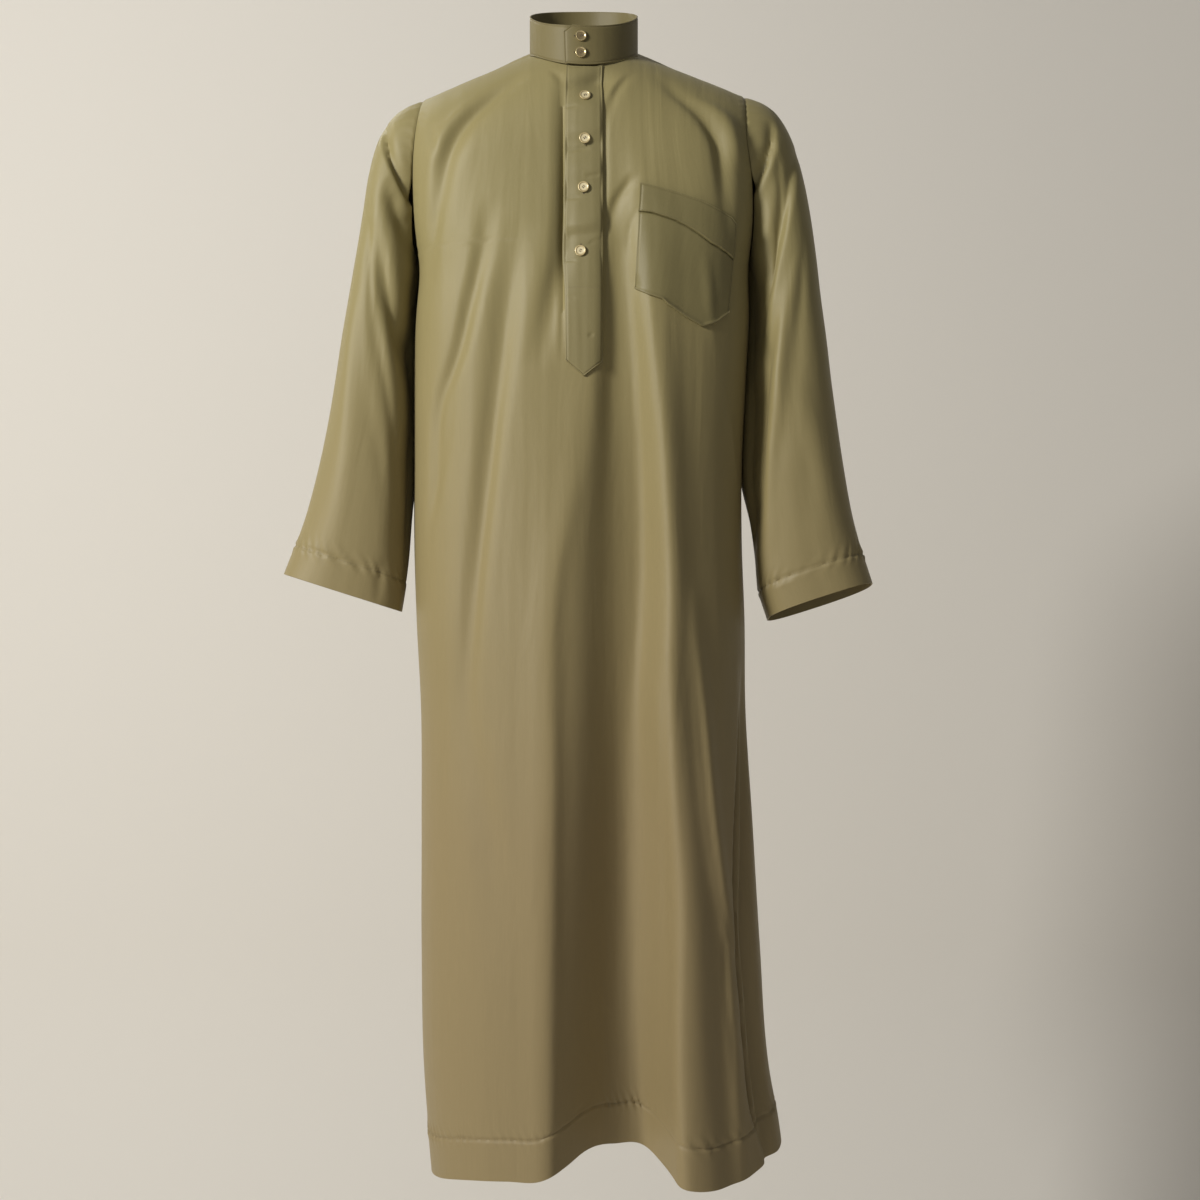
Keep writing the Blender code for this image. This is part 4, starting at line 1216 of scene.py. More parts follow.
def ditch(distance):
    """How far a seam's edges are drawn in at a distance from it."""
    return -DITCH_DEPTH * np.exp(-((distance / DITCH_REACH) ** 2))


def armhole_waves(way, place, seed):
    """Puckers along an armhole seam."""
    wander = uneven(place, seed)
    waves = np.sin(2 * math.pi * way / ARMHOLE_PUCKER_STEP + ARMHOLE_PUCKER_WANDER * wander)
    return ARMHOLE_PUCKER_DEPTH * wander * waves


def sewing_push(points, turn, climb, front):
    """Relief of the panel's own sewing: the hem, the seams and the puckers along the armholes."""
    round_turn = (turn + 180) % 360 - 180
    above = climb - along(HEM_HEIGHTS, 1, round_turn) - HEM_DEPTH
    way = np.radians(round_turn) * SIDE_SEAM_RADIUS
    seed = FRONT_SEED if front else BACK_SEED
    side = ease(np.abs(np.cos(np.radians(turn))) / SIDE_SEAM_FADE)
    push = (pucker(way, above, seed) + HEM_STEP * ease(-above / HEM_STEP_REACH)) * side
    inside = armhole_x(climb, points[..., 0] > 0) - np.abs(points[..., 0])
    seam = ease((climb - ARMPIT_HEIGHT) / ARMPIT_FADE) * ease(inside / SEAM_FADE)
    fade = np.exp(-((inside / ARMHOLE_PUCKER_REACH) ** 2))
    seed = seed + np.where(points[..., 0] > 0, LEFT_ARMHOLE_SEED, 0)
    waves = armhole_waves(climb + ARMHOLE_PUCKER_SLANT * inside, climb, seed)
    push += waves * fade * seam
    side_way = SIDE_SEAM_RADIUS * np.abs(np.cos(np.radians(turn)))
    top = top_climb(points[..., 0], front) - climb
    shoulder = np.where(np.abs(points[..., 0]) > NECK_RADIUS, ditch(top), 0)
    sides = np.where(climb > ARMPIT_HEIGHT, ditch(inside), ditch(side_way))
    return push + np.minimum(sides, shoulder)


def ripple(turn, climb):
    """Faint upright unevenness of hanging cloth."""
    sway = WIDE_RIPPLE_SWAY * np.sin(climb / WIDE_RIPPLE_LENGTH)
    wide = np.sin(WIDE_RIPPLE * turn + sway)
    fine = np.sin(FINE_RIPPLE * turn + climb / FINE_RIPPLE_LENGTH + 1)
    return RIPPLE_DEPTH * (wide + FINE_RIPPLE_SHARE * fine)


def body(turn, climb, front):
    """Points of the outside of the front or the back with its folds, creases and sewing."""
    turn = np.asarray(turn, float)
    climb = np.asarray(climb, float)
    points = plain_body(turn, climb, front)
    normal = body_slopes(plain_body, turn, climb, front)
    push = fold_push(FRONT_FOLDS if front else BACK_FOLDS, turn, climb, front)
    push += fold_push(FRONT_CREASES if front else BACK_CREASES, turn, climb, front)
    push += ripple(turn, climb)
    if front:
        push += hollow_push(points[..., 0], climb)
    push = push * calm(points, turn, climb) + sewing_push(points, turn, climb, front)
    points = points + normal * push[..., None]
    if front:
        crest = along(FRONT_FOLDS["standing_fold"], 1, climb) + FOLD_LEAN_CREST
        near = np.exp(-(((points[..., 0] - crest) / FOLD_LEAN_REACH) ** 2))
        lean = along(FOLD_LEAN, 1, climb) * near
        points[..., 0] -= lean
    return points


def edge_turn(climb, to_left, front):
    """Turn of the panel's side edge: the side seam, and above the armpit the armhole."""
    sign = np.where(to_left, 1, -1)
    seam = np.degrees(SEAM_GAP / 2 / SIDE_SEAM_RADIUS) * (-1 if front else 1)
    half_width = section_sizes(climb, to_left)[0]
    edge_x = np.minimum(armhole_x(climb, to_left) - SEAM_GAP / 2, half_width)
    armhole = np.abs(turn_at(sign * edge_x, climb, front))
    side = SIDE_TURN + seam
    limit = np.minimum if front else np.maximum
    return sign * np.where(climb > ARMPIT_HEIGHT, limit(armhole, side), side)


def ring_height(turns):
    """Height of the neck ring at each turn round the neck."""
    radians = np.radians(turns)
    x = NECK_RADIUS * np.sin(radians) * RING_INSIDE
    heights = []
    for front in (True, False):
        start, height, top_angle = cap_of(x, front)
        points = np.stack([x, edge_y(x, front), start + height * np.sin(top_angle)], -1)
        heights.append(points[:, 2] if front else points[:, 2] + neck_rise(points))
    return np.where(np.cos(radians) > 0, heights[0], heights[1])


def top_climb(x, front):
    """Way up to the neck ring or the shoulder seam at x."""
    start, height, top_angle = cap_of(x, front)
    return start + height * top_angle


def side_shares(count):
    """Even steps from a panel's middle towards its seam, then close steps at the seam."""
    even = np.linspace(0, DITCH_SHARES[0], count - len(DITCH_SHARES) + 2)[1:-1]
    return np.concatenate([even, DITCH_SHARES])


def row_climbs(hem, top):
    """Climb of each row and column, from the hem up, with close rows in the hem."""
    share = np.linspace(0, 1, HEM_ROWS + 1)[:, None]
    low = hem + HEM_DEPTH * share
    share = np.linspace(0, 1, PUCKER_ROWS + 1)[1:, None]
    puckers = hem + HEM_DEPTH + PUCKER_ROWS_REACH * PUCKER_UP * share
    share = np.linspace(0, 1, SKIRT_ROWS + 1)[1:, None]
    skirt = puckers[-1] + (ARMPIT_HEIGHT - puckers[-1]) * share
    share = side_shares(UPPER_ROWS)[:, None]
    upper = ARMPIT_HEIGHT + (top - ARMPIT_HEIGHT) * share
    return np.concatenate([low, puckers, skirt, upper])


def neck_columns(from_turn, to_turn, count, climb):
    """x of columns that meet the neck ring in even turns and run down evenly spaced."""
    turns = np.radians(np.linspace(from_turn, to_turn, count))
    ring_x = NECK_RADIUS * np.sin(turns)
    even_x = np.linspace(ring_x[0], ring_x[-1], count)
    rows = climb.shape[:-1]
    high = ease((climb - NECK_COLUMNS_EVEN) / -NECK_COLUMNS_EVEN)
    return np.broadcast_to(even_x, (*rows, count)) * (1 - high) + ring_x * high


def front_turns(climb):
    """Turn of every column of the front: set x across the middle, then even steps to each side."""
    right_turn = -math.degrees(math.asin(PLACKET_RIGHT_X / -NECK_RADIUS))
    left_turn = math.degrees(math.asin(PLACKET_LEFT_X / NECK_RADIUS))
    sides = FRONT_SIDE_COLUMNS
    count = NECK_SIDE_COLUMNS
    last = sides + FRONT_MIDDLE_COLUMNS
    right = neck_columns(-SIDE_TURN, right_turn, count, climb[..., sides : sides + count])
    left = neck_columns(left_turn, SIDE_TURN, count, climb[..., last - count : last])
    placket = np.linspace(PLACKET_RIGHT_X, PLACKET_LEFT_X, PLACKET_COLUMNS)
    placket = placket + 0 * climb[..., :PLACKET_COLUMNS]
    middle = [right[..., :-1], placket, left[..., 1:]]
    side = side_shares(sides)
    flat = 0 * climb[..., :sides]
    x = np.concatenate([flat - NECK_RADIUS, *middle, flat + NECK_RADIUS], axis=-1)
    share = np.concatenate([side[::-1], np.zeros(FRONT_MIDDLE_COLUMNS), side])
    base = turn_at(x, climb)
    edge = edge_turn(climb, x > 0, True)
    return base + (edge - base) * share


def back_turns(climb):
    """Turn of every column of the back, from the wearer's left round to the right."""
    sides = BACK_SIDE_COLUMNS
    count = BACK_NECK_COLUMNS
    side = side_shares(sides)
    flat = 0 * climb[..., :sides]
    middle = neck_columns(SIDE_TURN, -SIDE_TURN, count, climb[..., sides : sides + count])
    x = np.concatenate([flat + NECK_RADIUS, middle, flat - NECK_RADIUS], axis=-1)
    share = np.concatenate([side[::-1], np.zeros(count), side])
    base = turn_at(x, climb, False) % 360
    to_left = np.broadcast_to(np.arange(x.shape[-1]) < x.shape[-1] // 2, x.shape)
    edge = edge_turn(climb, to_left, False) + np.where(to_left, 0, 360)
    return base + (edge - base) * share


def panel_grid(front):
    """Turn and climb of every grid point of a panel."""
    turns = front_turns if front else back_turns
    count = 2 * BACK_SIDE_COLUMNS + BACK_NECK_COLUMNS
    if front:
        count = 2 * FRONT_SIDE_COLUMNS + FRONT_MIDDLE_COLUMNS
    hem_turn = turns(np.full(count, HEM_TURN_HEIGHT))
    hem = along(HEM_HEIGHTS, 1, (hem_turn + 180) % 360 - 180)
    top = np.full(count, TOP_START)
    for _ in range(TOP_PASSES):
        x = plain_body(turns(top), top, front)[:, 0]
        top = top_climb(x, front)
    climb = row_climbs(hem, top)
    return turns(climb), climb


def grid_normals(points, closed=False):
    """Outward normals of a grid whose rows climb and whose columns run to the wearer's left."""
    if closed:
        across = np.roll(points, -1, axis=1) - np.roll(points, 1, axis=1)
    else:
        across = np.gradient(points, axis=1)
    normal = np.cross(across, np.gradient(points, axis=0))
    return normal / np.maximum(np.linalg.norm(normal, axis=-1, keepdims=True), TINY)


def mesh_object(name, points, faces, materials):
    """A smooth mesh from points in mm."""
    mesh = bpy.data.meshes.new(name)
    mesh.from_pydata((np.asarray(points) * MM).tolist(), [], faces)
    thing = bpy.data.objects.new(name, mesh)
    bpy.context.scene.collection.objects.link(thing)
    for material in materials:
        mesh.materials.append(material)
    mesh.polygons.foreach_set("use_smooth", [True] * len(mesh.polygons))
    return thing


def pick(thing):
    """Selects this object alone and makes it the active one."""
    bpy.ops.object.select_all(action="DESELECT")
    thing.select_set(True)
    bpy.context.view_layer.objects.active = thing


def cloth_lengths(outer, closed):
    """Metres of cloth across to each column and up to each row, on average over the piece."""
    loop = np.concatenate([outer, outer[:, :1]], axis=1) if closed else outer
    wide = np.linalg.norm(np.diff(loop, axis=1), axis=-1).mean(axis=0)
    tall = np.linalg.norm(np.diff(outer, axis=0), axis=-1).mean(axis=1)
    across = np.concatenate([[0], np.cumsum(wide)]) * MM
    return across, np.concatenate([[0], np.cumsum(tall)]) * MM


def cloth_wall(name, outer, inner, material, closed=False):
    """A wall of cloth between two grids, with rims on its open edges and a map in metres of cloth."""
    rows, columns = outer.shape[:2]
    steps = columns if closed else columns - 1
    row, column = np.meshgrid(np.arange(rows - 1), np.arange(steps), indexing="ij")
    row = row.reshape(-1)
    column = column.reshape(-1)
    corners = [(row, column), (row, column + 1), (row + 1, column + 1), (row + 1, column)]
    quads = np.stack([r * columns + c % columns for r, c in corners], -1)
    across, up = cloth_lengths(outer, closed)
    map_points = np.stack([np.stack([across[c], up[r]], -1) for r, c in corners], 1)
    i = np.arange(steps)
    low = [(0 * i, i + 1), (0 * i, i)]
    high = [(0 * i + rows - 1, i), (0 * i + rows - 1, i + 1)]
    borders = [low, high]
    if not closed:
        j = np.arange(rows - 1)
        borders.append([(j, 0 * j), (j + 1, 0 * j)])
        borders.append([(j + 1, 0 * j + columns - 1), (j, 0 * j + columns - 1)])
    faces = [quads, quads[:, ::-1] + rows * columns]
    maps = [map_points, map_points[:, ::-1]]
    for (r1, c1), (r2, c2) in borders:
        first = r1 * columns + c1 % columns
        second = r2 * columns + c2 % columns
        offset = rows * columns
        faces.append(np.stack([first, second, second + offset, first + offset], -1))
        one = np.stack([across[c1], up[r1]], -1)
        two = np.stack([across[c2], up[r2]], -1)
        maps.append(np.stack([one, two, two, one], 1))
    points = np.concatenate([outer.reshape(-1, 3), inner.reshape(-1, 3)])
    thing = mesh_object(name, points, np.concatenate(faces).tolist(), [material])
    layer = thing.data.uv_layers.new(name="cloth")
    layer.data.foreach_set("uv", np.concatenate(maps).reshape(-1).astype(np.float32))
    pick(thing)
    bpy.ops.object.shade_smooth_by_angle(angle=math.radians(RIM_ANGLE))
    return thing


def armhole_ring(to_left, count):
    """Even points round the armhole, from the shoulder seam down the front and up the back."""
    sign = 1 if to_left else -1
    shares = np.linspace(0, 1, ARMHOLE_STEPS)
    left = np.full(ARMHOLE_STEPS, to_left)
    shoulder_x = sign * (ARMHOLE_LINE[0][2 if to_left else 1] + SEAM_GAP / 2)
    paths = []
    for front in (True, False):
        top = top_climb(np.full_like(shares, shoulder_x), front)
        climb = ARMPIT_HEIGHT + (top - ARMPIT_HEIGHT) * shares
        reach = armhole_x(climb, left) + SEAM_GAP / 2
        edge = sign * np.minimum(reach, section_sizes(climb, left)[0])
        path = plain_body(turn_at(edge, climb, front), climb, front)
        path[:, 0] = sign * reach
        path[0, 1] = 0
        paths.append(path)
    loop = np.concatenate([paths[0][::-1], paths[1][1:]])
    lengths = np.linalg.norm(np.diff(loop, axis=0), axis=1)
    reached = np.concatenate([[0], np.cumsum(lengths)])
    at = np.arange(count) / count * reached[-1]
    return np.stack([np.interp(at, reached, loop[:, i]) for i in range(3)], axis=1)


def table_by_share(table):
    """A sleeve's table with its share of the way from shoulder to wrist before each row."""
    last = len(table) - 1
    return tuple((index / last, *row) for index, row in enumerate(table))


def line_push(lines, x, z):
    """How far the creases of a sleeve's front push it out, by the distance to the nearest stretch."""
    push = np.zeros_like(x)
    for before, after, *rows in lines.values():
        nearest = np.full_like(x, FAR)
        depth = np.zeros_like(x)
        for start, end in zip(rows, rows[1:]):
            way_x = end[0] - start[0]
            way_z = end[1] - start[1]
            reached = (x - start[0]) * way_x + (z - start[1]) * way_z
            reached = np.clip(reached / (way_x**2 + way_z**2), 0, 1)
            away_x = x - start[0] - reached * way_x
            away_z = z - start[1] - reached * way_z
            reach = np.where(way_x * away_z > way_z * away_x, after, before)
            distance = np.hypot(away_x, away_z) / reach
            closer = distance < nearest
            nearest = np.where(closer, distance, nearest)
            depth = np.where(closer, start[2] + (end[2] - start[2]) * reached, depth)
        push += depth * np.exp(-(nearest**2))
    return push


def sleeve_push(folds, angle, share, half_depth):
    """How far one table of folds pushes a sleeve out."""
    push = np.zeros_like(share)
    for rows in folds.values():
        away = angle - np.radians(along(rows, 1, share))
        away = (away + math.pi) % (2 * math.pi) - math.pi
        size = away * half_depth / along(rows, 3, share)
        inside = (share >= rows[0][0]) & (share <= rows[-1][0])
        push += np.where(inside, along(rows, 2, share) * np.exp(-(size**2)), 0)
    return push


def sleeve_steps(rows):
    """How far down each ring of a sleeve lies, its share of the length, and the whole length."""
    fine = np.linspace(0, 1, LENGTH_STEPS)
    middle_x = along(rows, 1, fine) + along(rows, 3, fine)
    middle_z = along(rows, 2, fine) + along(rows, 4, fine)
    steps = np.hypot(np.diff(middle_x), np.diff(middle_z)) / 2
    reached = np.concatenate([[0], np.cumsum(steps)])
    count = SLEEVE_RINGS - len(DITCH_RINGS) + 1
    even = np.linspace(DITCH_RINGS[-1], reached[-1] - CUFF_DEPTH, count)
    cuff = np.linspace(even[-1], reached[-1], SLEEVE_CUFF_RINGS + 1)
    down = np.concatenate([DITCH_RINGS, even[1:], cuff[1:]])
    return down, np.interp(down, reached, fine), reached[-1]


def plain_sleeve(table, share, angle, to_left):
    """Points of a sleeve before its folds, its half depth and how far to the front each one lies."""
    sign = 1 if to_left else -1
    rows = table_by_share(table)
    power = 2 / SLEEVE_ROUNDNESS
    out = np.sign(np.cos(angle)) * np.abs(np.cos(angle)) ** power
    ahead = np.sign(np.sin(angle)) * np.abs(np.sin(angle)) ** power
    sizes = [along(rows, column, share) for column in range(1, 8)]
    outer_x, outer_z, inner_x, inner_z, mid_y, deep, drop = sizes
    x = (outer_x + inner_x) / 2 + (outer_x - inner_x) / 2 * out
    behind = (np.degrees(angle) - BODY_SIDE_TURN) / BODY_SIDE_REACH
    lean = along(BODY_SIDE_LEAN, 2 if to_left else 1, share)
    x = x - lean * np.exp(-(behind**2))
    y = mid_y - deep * ahead
    z = (outer_z + inner_z) / 2 + (outer_z - inner_z) / 2 * out - drop * (y - mid_y)
    rings = np.stack([sign * x, y, z], axis=-1)
    change = armhole_ring(to_left, SLEEVE_COLUMNS) - rings[0]
    ring = share * (len(table) - 1)
    blend = np.clip(1 - ring / ARMHOLE_BLEND_RINGS, 0, 1) ** 2
    return rings + change * blend[..., None], deep, ahead


def sleeve_sewing(angle, deep, share, down, length, seed):
    """Relief of a sleeve's hem and armhole seam, and its faint ripples."""
    round_angle = (angle + math.pi) % (2 * math.pi) - math.pi
    way = round_angle * deep
    seam = ease((math.pi - np.abs(round_angle)) / UNDERARM_FADE)
    above = length - down - CUFF_DEPTH
    push = pucker(way, above, seed) * seam + HEM_STEP * ease(-above / HEM_STEP_REACH)
    fade = np.exp(-((down / ARMHOLE_PUCKER_REACH) ** 2)) * ease(down / SEAM_FADE)
    push += armhole_waves(way, way, seed + 1) * fade * seam + ditch(down)
    sway = SLEEVE_RIPPLE_SWAY * np.sin(SLEEVE_RIPPLE_TURNS * share)
    ripples = np.sin(SLEEVE_RIPPLES * angle + sway)
    return push + RIPPLE_DEPTH * ripples * ease(down / SLEEVE_RIPPLE_START)


def sleeve_grid(table, folds, lines, to_left):
    """Outer points and outward normals of a sleeve, ring by ring from the armhole to the wrist."""
    sign = 1 if to_left else -1
    down, share, length = sleeve_steps(table_by_share(table))
    angle = np.arange(SLEEVE_COLUMNS) / SLEEVE_COLUMNS * 2 * math.pi
    share, angle = np.meshgrid(share, angle, indexing="ij")
    rings, deep, ahead = plain_sleeve(table, share, angle, to_left)
    push = sleeve_push(folds, angle, share, deep)
    on_front = ease(ahead / SLEEVE_CREASE_EDGE)
    push += line_push(lines, rings[..., 0], rings[..., 2]) * on_front
    seed = LEFT_SLEEVE_SEED if to_left else RIGHT_SLEEVE_SEED
    push += sleeve_sewing(angle, deep, share, down[:, None], length, seed)
    outer = rings + sign * grid_normals(rings, True) * push[..., None]
    return outer, sign * grid_normals(outer, True)


def sleeve(name, table, folds, lines, to_left, material):
    """A sleeve tube, and the outside of its grid from the armhole to the wrist."""
    outer, normal = sleeve_grid(table, folds, lines, to_left)
    inner = outer - normal * CLOTH_WALL
    if to_left:
        inner[0, :, 0] = np.maximum(inner[0, :, 0], outer[0, :, 0])
        return cloth_wall(name, outer, inner, material, True), outer, normal
    inner[0, :, 0] = np.minimum(inner[0, :, 0], outer[0, :, 0])
    return cloth_wall(name, outer[::-1], inner[::-1], material, True), outer, normal


def edge_places(length, middle):
    """Places along a band: close together at its two edges and even between them."""
    steps = np.array(EDGE_STEPS)
    between = np.linspace(steps[-1], length - steps[-1], middle + 2)[1:-1]
    return np.concatenate([steps, between, (length - steps)[::-1]])


def bell(place, middle, reach):
    """1 at the middle, falling smoothly to 0 on both sides of it."""
    return np.exp(-(((place - middle) / reach) ** 2))


def edge_form(distance):
    """1 inside a band, falling to 0 round its edge, and the groove of its edge stitching."""
    near = np.clip(distance / EDGE_ROUND, 0, 1)
    rounded = np.sqrt(np.clip(1 - (1 - near) ** 2, 0, 1))
    return rounded, BAND_GROOVE * bell(distance, STITCH_IN, BAND_GROOVE_REACH)


def band_lift(rounded, groove, gap, wall):
    """Heights of the outside and the inside of a band over the cloth under it."""
    high = gap + wall * (EDGE_SHARE + (1 - EDGE_SHARE) * rounded) - groove
    return high, gap + 0 * rounded


def placket_crease(x, climb):
    """How far the placket's slack and its small creases push it out."""
    push = along(PLACKET_WAVES, 1, climb)
    for height, rise, depth, reach, middle, wide in PLACKET_CREASES:
        away = climb - height - rise * (x - middle)
        push += depth * np.exp(-((away / reach) ** 2) - ((x - middle) / wide) ** 4)
    return push


def placket_grid():
    """Outer and inner points and normals of the placket, from its point up."""
    width = PLACKET_LEFT_X - PLACKET_RIGHT_X
    x = PLACKET_RIGHT_X + edge_places(width, PLACKET_FINE_COLUMNS)
    top = top_climb(x, True) - PLACKET_TOP_DROP
    point = 1 - np.abs((x - PLACKET_RIGHT_X) / width * 2 - 1)
    low = PLACKET_SIDE_END + (PLACKET_POINT_END - PLACKET_SIDE_END) * point
    length = top.mean() - PLACKET_SIDE_END
    down = edge_places(length, PLACKET_FINE_ROWS)[:, None] / length
    climb = low + (top - low) * down
    x = x + 0 * climb
    turn = turn_at(x, climb)
    plain = body(turn, climb, True)
    normal = grid_normals(plain)
    side = np.minimum(x - PLACKET_RIGHT_X, PLACKET_LEFT_X - x)
    end = np.minimum(down * length, (1 - down) * length) + 0 * x
    rounded, groove = edge_form(np.minimum(side, end))
    high, under = band_lift(rounded, groove, PLACKET_GAP, PLACKET_WALL)
    high += placket_crease(x, climb) * ease(side / PLACKET_CREASE_EDGE)
    cross = bell(climb, PLACKET_CROSS_STITCH, BAND_GROOVE_REACH)
    high -= BAND_GROOVE * cross * CROSS_STITCH_SHARE
    high += PLACKET_PUFF * ease(side / PLACKET_PUFF_REACH)
    hollow = {"placket_side_hollow": FRONT_FOLDS["placket_side_hollow"]}
    raised = -PLACKET_BRIDGE * fold_push(hollow, turn, climb, True)
    high = np.maximum(high, under + LEAST_WALL) + raised
    under = under + raised
    return plain + normal * high[..., None], plain + normal * under[..., None], normal


def pocket_rows(band):
    """Places down the pocket, from its bottom up, and the row that stitches its band."""
    steps = np.array(EDGE_STEPS)[:, None] + 0 * band
    near = np.linspace(band - BAND_REACH, band + BAND_REACH, POCKET_FOLD_ROWS)
    upper = np.linspace(steps[-1], near[0], POCKET_UPPER_ROWS)[1:-1]
    lower = np.linspace(near[-1], POCKET_LENGTH - steps[-1], POCKET_LOWER_ROWS)[1:-1]
    places = np.concatenate([steps, upper, near, lower, POCKET_LENGTH - steps[::-1]])
    stitched = len(places) - 1 - (len(steps) + len(upper) + 2)
    return places[::-1], stitched


def pocket_grid():
    """Outer and inner points and normals of the pocket from its bottom up, and its stitched row."""
    across = edge_places(POCKET_WIDTH, POCKET_COLUMNS) / POCKET_WIDTH
    band = np.interp(across, *np.array(POCKET_BAND).T) * POCKET_LENGTH
    places, stitched = pocket_rows(band)
    down = places / POCKET_LENGTH
    top = [np.interp(across, *np.array(POCKET_TOP)[:, [0, i]].T) for i in (1, 2)]
    bottom = [np.interp(across, *np.array(POCKET_BOTTOM)[:, [0, i]].T) for i in (1, 2)]
    x = top[0] + (bottom[0] - top[0]) * down
    climb = top[1] + (bottom[1] - top[1]) * down
    plain = body(turn_at(x, climb), climb, True)
    normal = grid_normals(plain)
    side = np.minimum(across, 1 - across) * POCKET_WIDTH + 0 * down
    end = np.minimum(places, POCKET_LENGTH - places)
    rounded, groove = edge_form(np.minimum(side, end))
    high, under = band_lift(rounded, groove, POCKET_GAP, POCKET_WALL)
    fold = ease((band - places) / POCKET_FOLD_ROUND + 0.5)
    under_fold = bell(places, band + POCKET_FOLD_ROUND, POCKET_FOLD_REACH)
    rim = bell(POCKET_LENGTH - places, POCKET_RIM_IN, POCKET_RIM_REACH)
    relief = POCKET_BAND_RAISE * fold - POCKET_FOLD_DEPTH * under_fold + POCKET_RIM * rim
    high += relief * rounded
    high += POCKET_PUFF * ease(side / POCKET_PUFF_REACH) * ease(end / POCKET_PUFF_REACH)
    high = np.maximum(high, under + LEAST_WALL)
    outer = plain + normal * high[..., None]
    return outer, plain + normal * under[..., None], normal, stitched


def collar_points(turns, share, depth, clip=0.0):
    """Points of the collar stand at a share of its height, depth under its outside."""
    lap = ease((-turns - COLLAR_LAP_START) / COLLAR_LAP_SPREAD) * COLLAR_LAP_LIFT
    away = np.abs((turns - COLLAR_LAP_END + 180) % 360 - 180) / COLLAR_PEAK_SPREAD
    upwards = COLLAR_PEAK_FOOT + (1 - COLLAR_PEAK_FOOT) * share
    peak = COLLAR_PEAK * np.exp(-(away**COLLAR_PEAK_POWER)) * upwards
    radius = NECK_RADIUS + lap + peak - depth
    forward = np.cos(np.radians(turns))
    y = NECK_MIDDLE_Y - radius * forward + COLLAR_LEAN * share * forward
    low = ring_height(turns) + COLLAR_SEAT
    tilt = COLLAR_TOP_TILT * forward + COLLAR_TOP_ROUND * forward**2
    high = COLLAR_TOP_SIDE - tilt - clip
    z = low + (high - low) * share
    return np.stack([radius * np.sin(np.radians(turns)), y, z], -1)


def collar_grid():
    """Outer and inner points of the collar stand, from its covered end round to its lapped end."""
    whole = COLLAR_UNDER_END - COLLAR_LAP_END
    length = whole * math.radians(1) * NECK_RADIUS
    way = edge_places(length, COLLAR_COLUMNS)
    turns = COLLAR_UNDER_END - way / length * whole
    from_end = (turns - COLLAR_LAP_END) / COLLAR_CLIP_TURN
    clip = COLLAR_CLIP * ease(1 - from_end)
    shares = edge_places(COLLAR_HEIGHT, COLLAR_ROWS)[:, None] / COLLAR_HEIGHT
    end = np.minimum(shares, 1 - shares) * COLLAR_HEIGHT
    side = np.minimum(way, length - way)
    rounded, groove = edge_form(np.minimum(side, end))
    dip = (1 - rounded) * COLLAR_WALL * COLLAR_EDGE_DIP
    outer = collar_points(turns, shares, dip + groove, clip)
    inner = collar_points(turns, shares, COLLAR_WALL - dip, clip)
    return outer[:, ::-1], inner[:, ::-1]


def collar_place(turn, share):
    """Point and outward normal on the collar stand."""
    near = np.array([turn, turn + COLLAR_NEAR_TURN])
    point, beside = collar_points(near, share, 0.0)
    above = collar_points(near, share + COLLAR_NEAR_SHARE, 0.0)[0]
    normal = np.cross(beside - point, above - point)
    return point, normal / np.linalg.norm(normal)


def crossing(points, normal, height):
    """Point and normal of each column of a piece where it passes a height, as rows of six."""
    rows = []
    for column in range(points.shape[1]):
        order = np.argsort(points[:, column, 2])
        both = np.concatenate([points[order, column], normal[order, column]], axis=1)
        rows.append([np.interp(height, both[:, 2], both[:, i]) for i in range(6)])
    return np.array(rows)


def level_path(points, normal, height, x_from, x_to):
    """Points and normals across a piece at one height."""
    rows = crossing(points, normal, height)
    rows = rows[(rows[:, 0] >= x_from) & (rows[:, 0] <= x_to)]
    return rows[:, :3], rows[:, 3:]


def on_grid(points, normal, x, height):
    """Point and normal of a piece where it passes at x and a height."""
    rows = crossing(points, normal, height)
    values = [np.interp(x, rows[:, 0], rows[:, i]) for i in range(6)]
    return np.array(values[:3]), np.array(values[3:])


def grid_path(points, normal, row=None, column=None):
    """Points and normals along one row or one column of a grid."""
    if row is not None:
        return points[row], normal[row]
    return points[:, column], normal[:, column]


def stitch_base():
    """One stitch: a short thread lying along X, pressed in at both ends."""
    bpy.ops.object.select_all(action="DESELECT")
    bpy.ops.mesh.primitive_cylinder_add(vertices=STITCH_SIDES, radius=STITCH_RADIUS, depth=1)
    thing = bpy.context.active_object
    bpy.ops.object.mode_set(mode="EDIT")
    bpy.ops.mesh.select_all(action="SELECT")
    bpy.ops.mesh.subdivide(number_cuts=1)
    bpy.ops.object.mode_set(mode="OBJECT")
    points = np.array([vertex.co for vertex in thing.data.vertices])
    faces = [tuple(face.vertices) for face in thing.data.polygons]
    bpy.data.objects.remove(thing)
    lying = points[:, [2, 0, 1]].copy()
    end = np.abs(lying[:, 0]) * 2
    lying[:, 1:] *= (1 - STITCH_TAPER * end**3)[:, None]
    lying[:, 2] -= STITCH_SINK * end**2
    return lying, faces


def interpolated(at, reached, points):
    """Points of a line at lengths along it."""
    return np.stack([np.interp(at, reached, points[:, i]) for i in range(3)], 1)


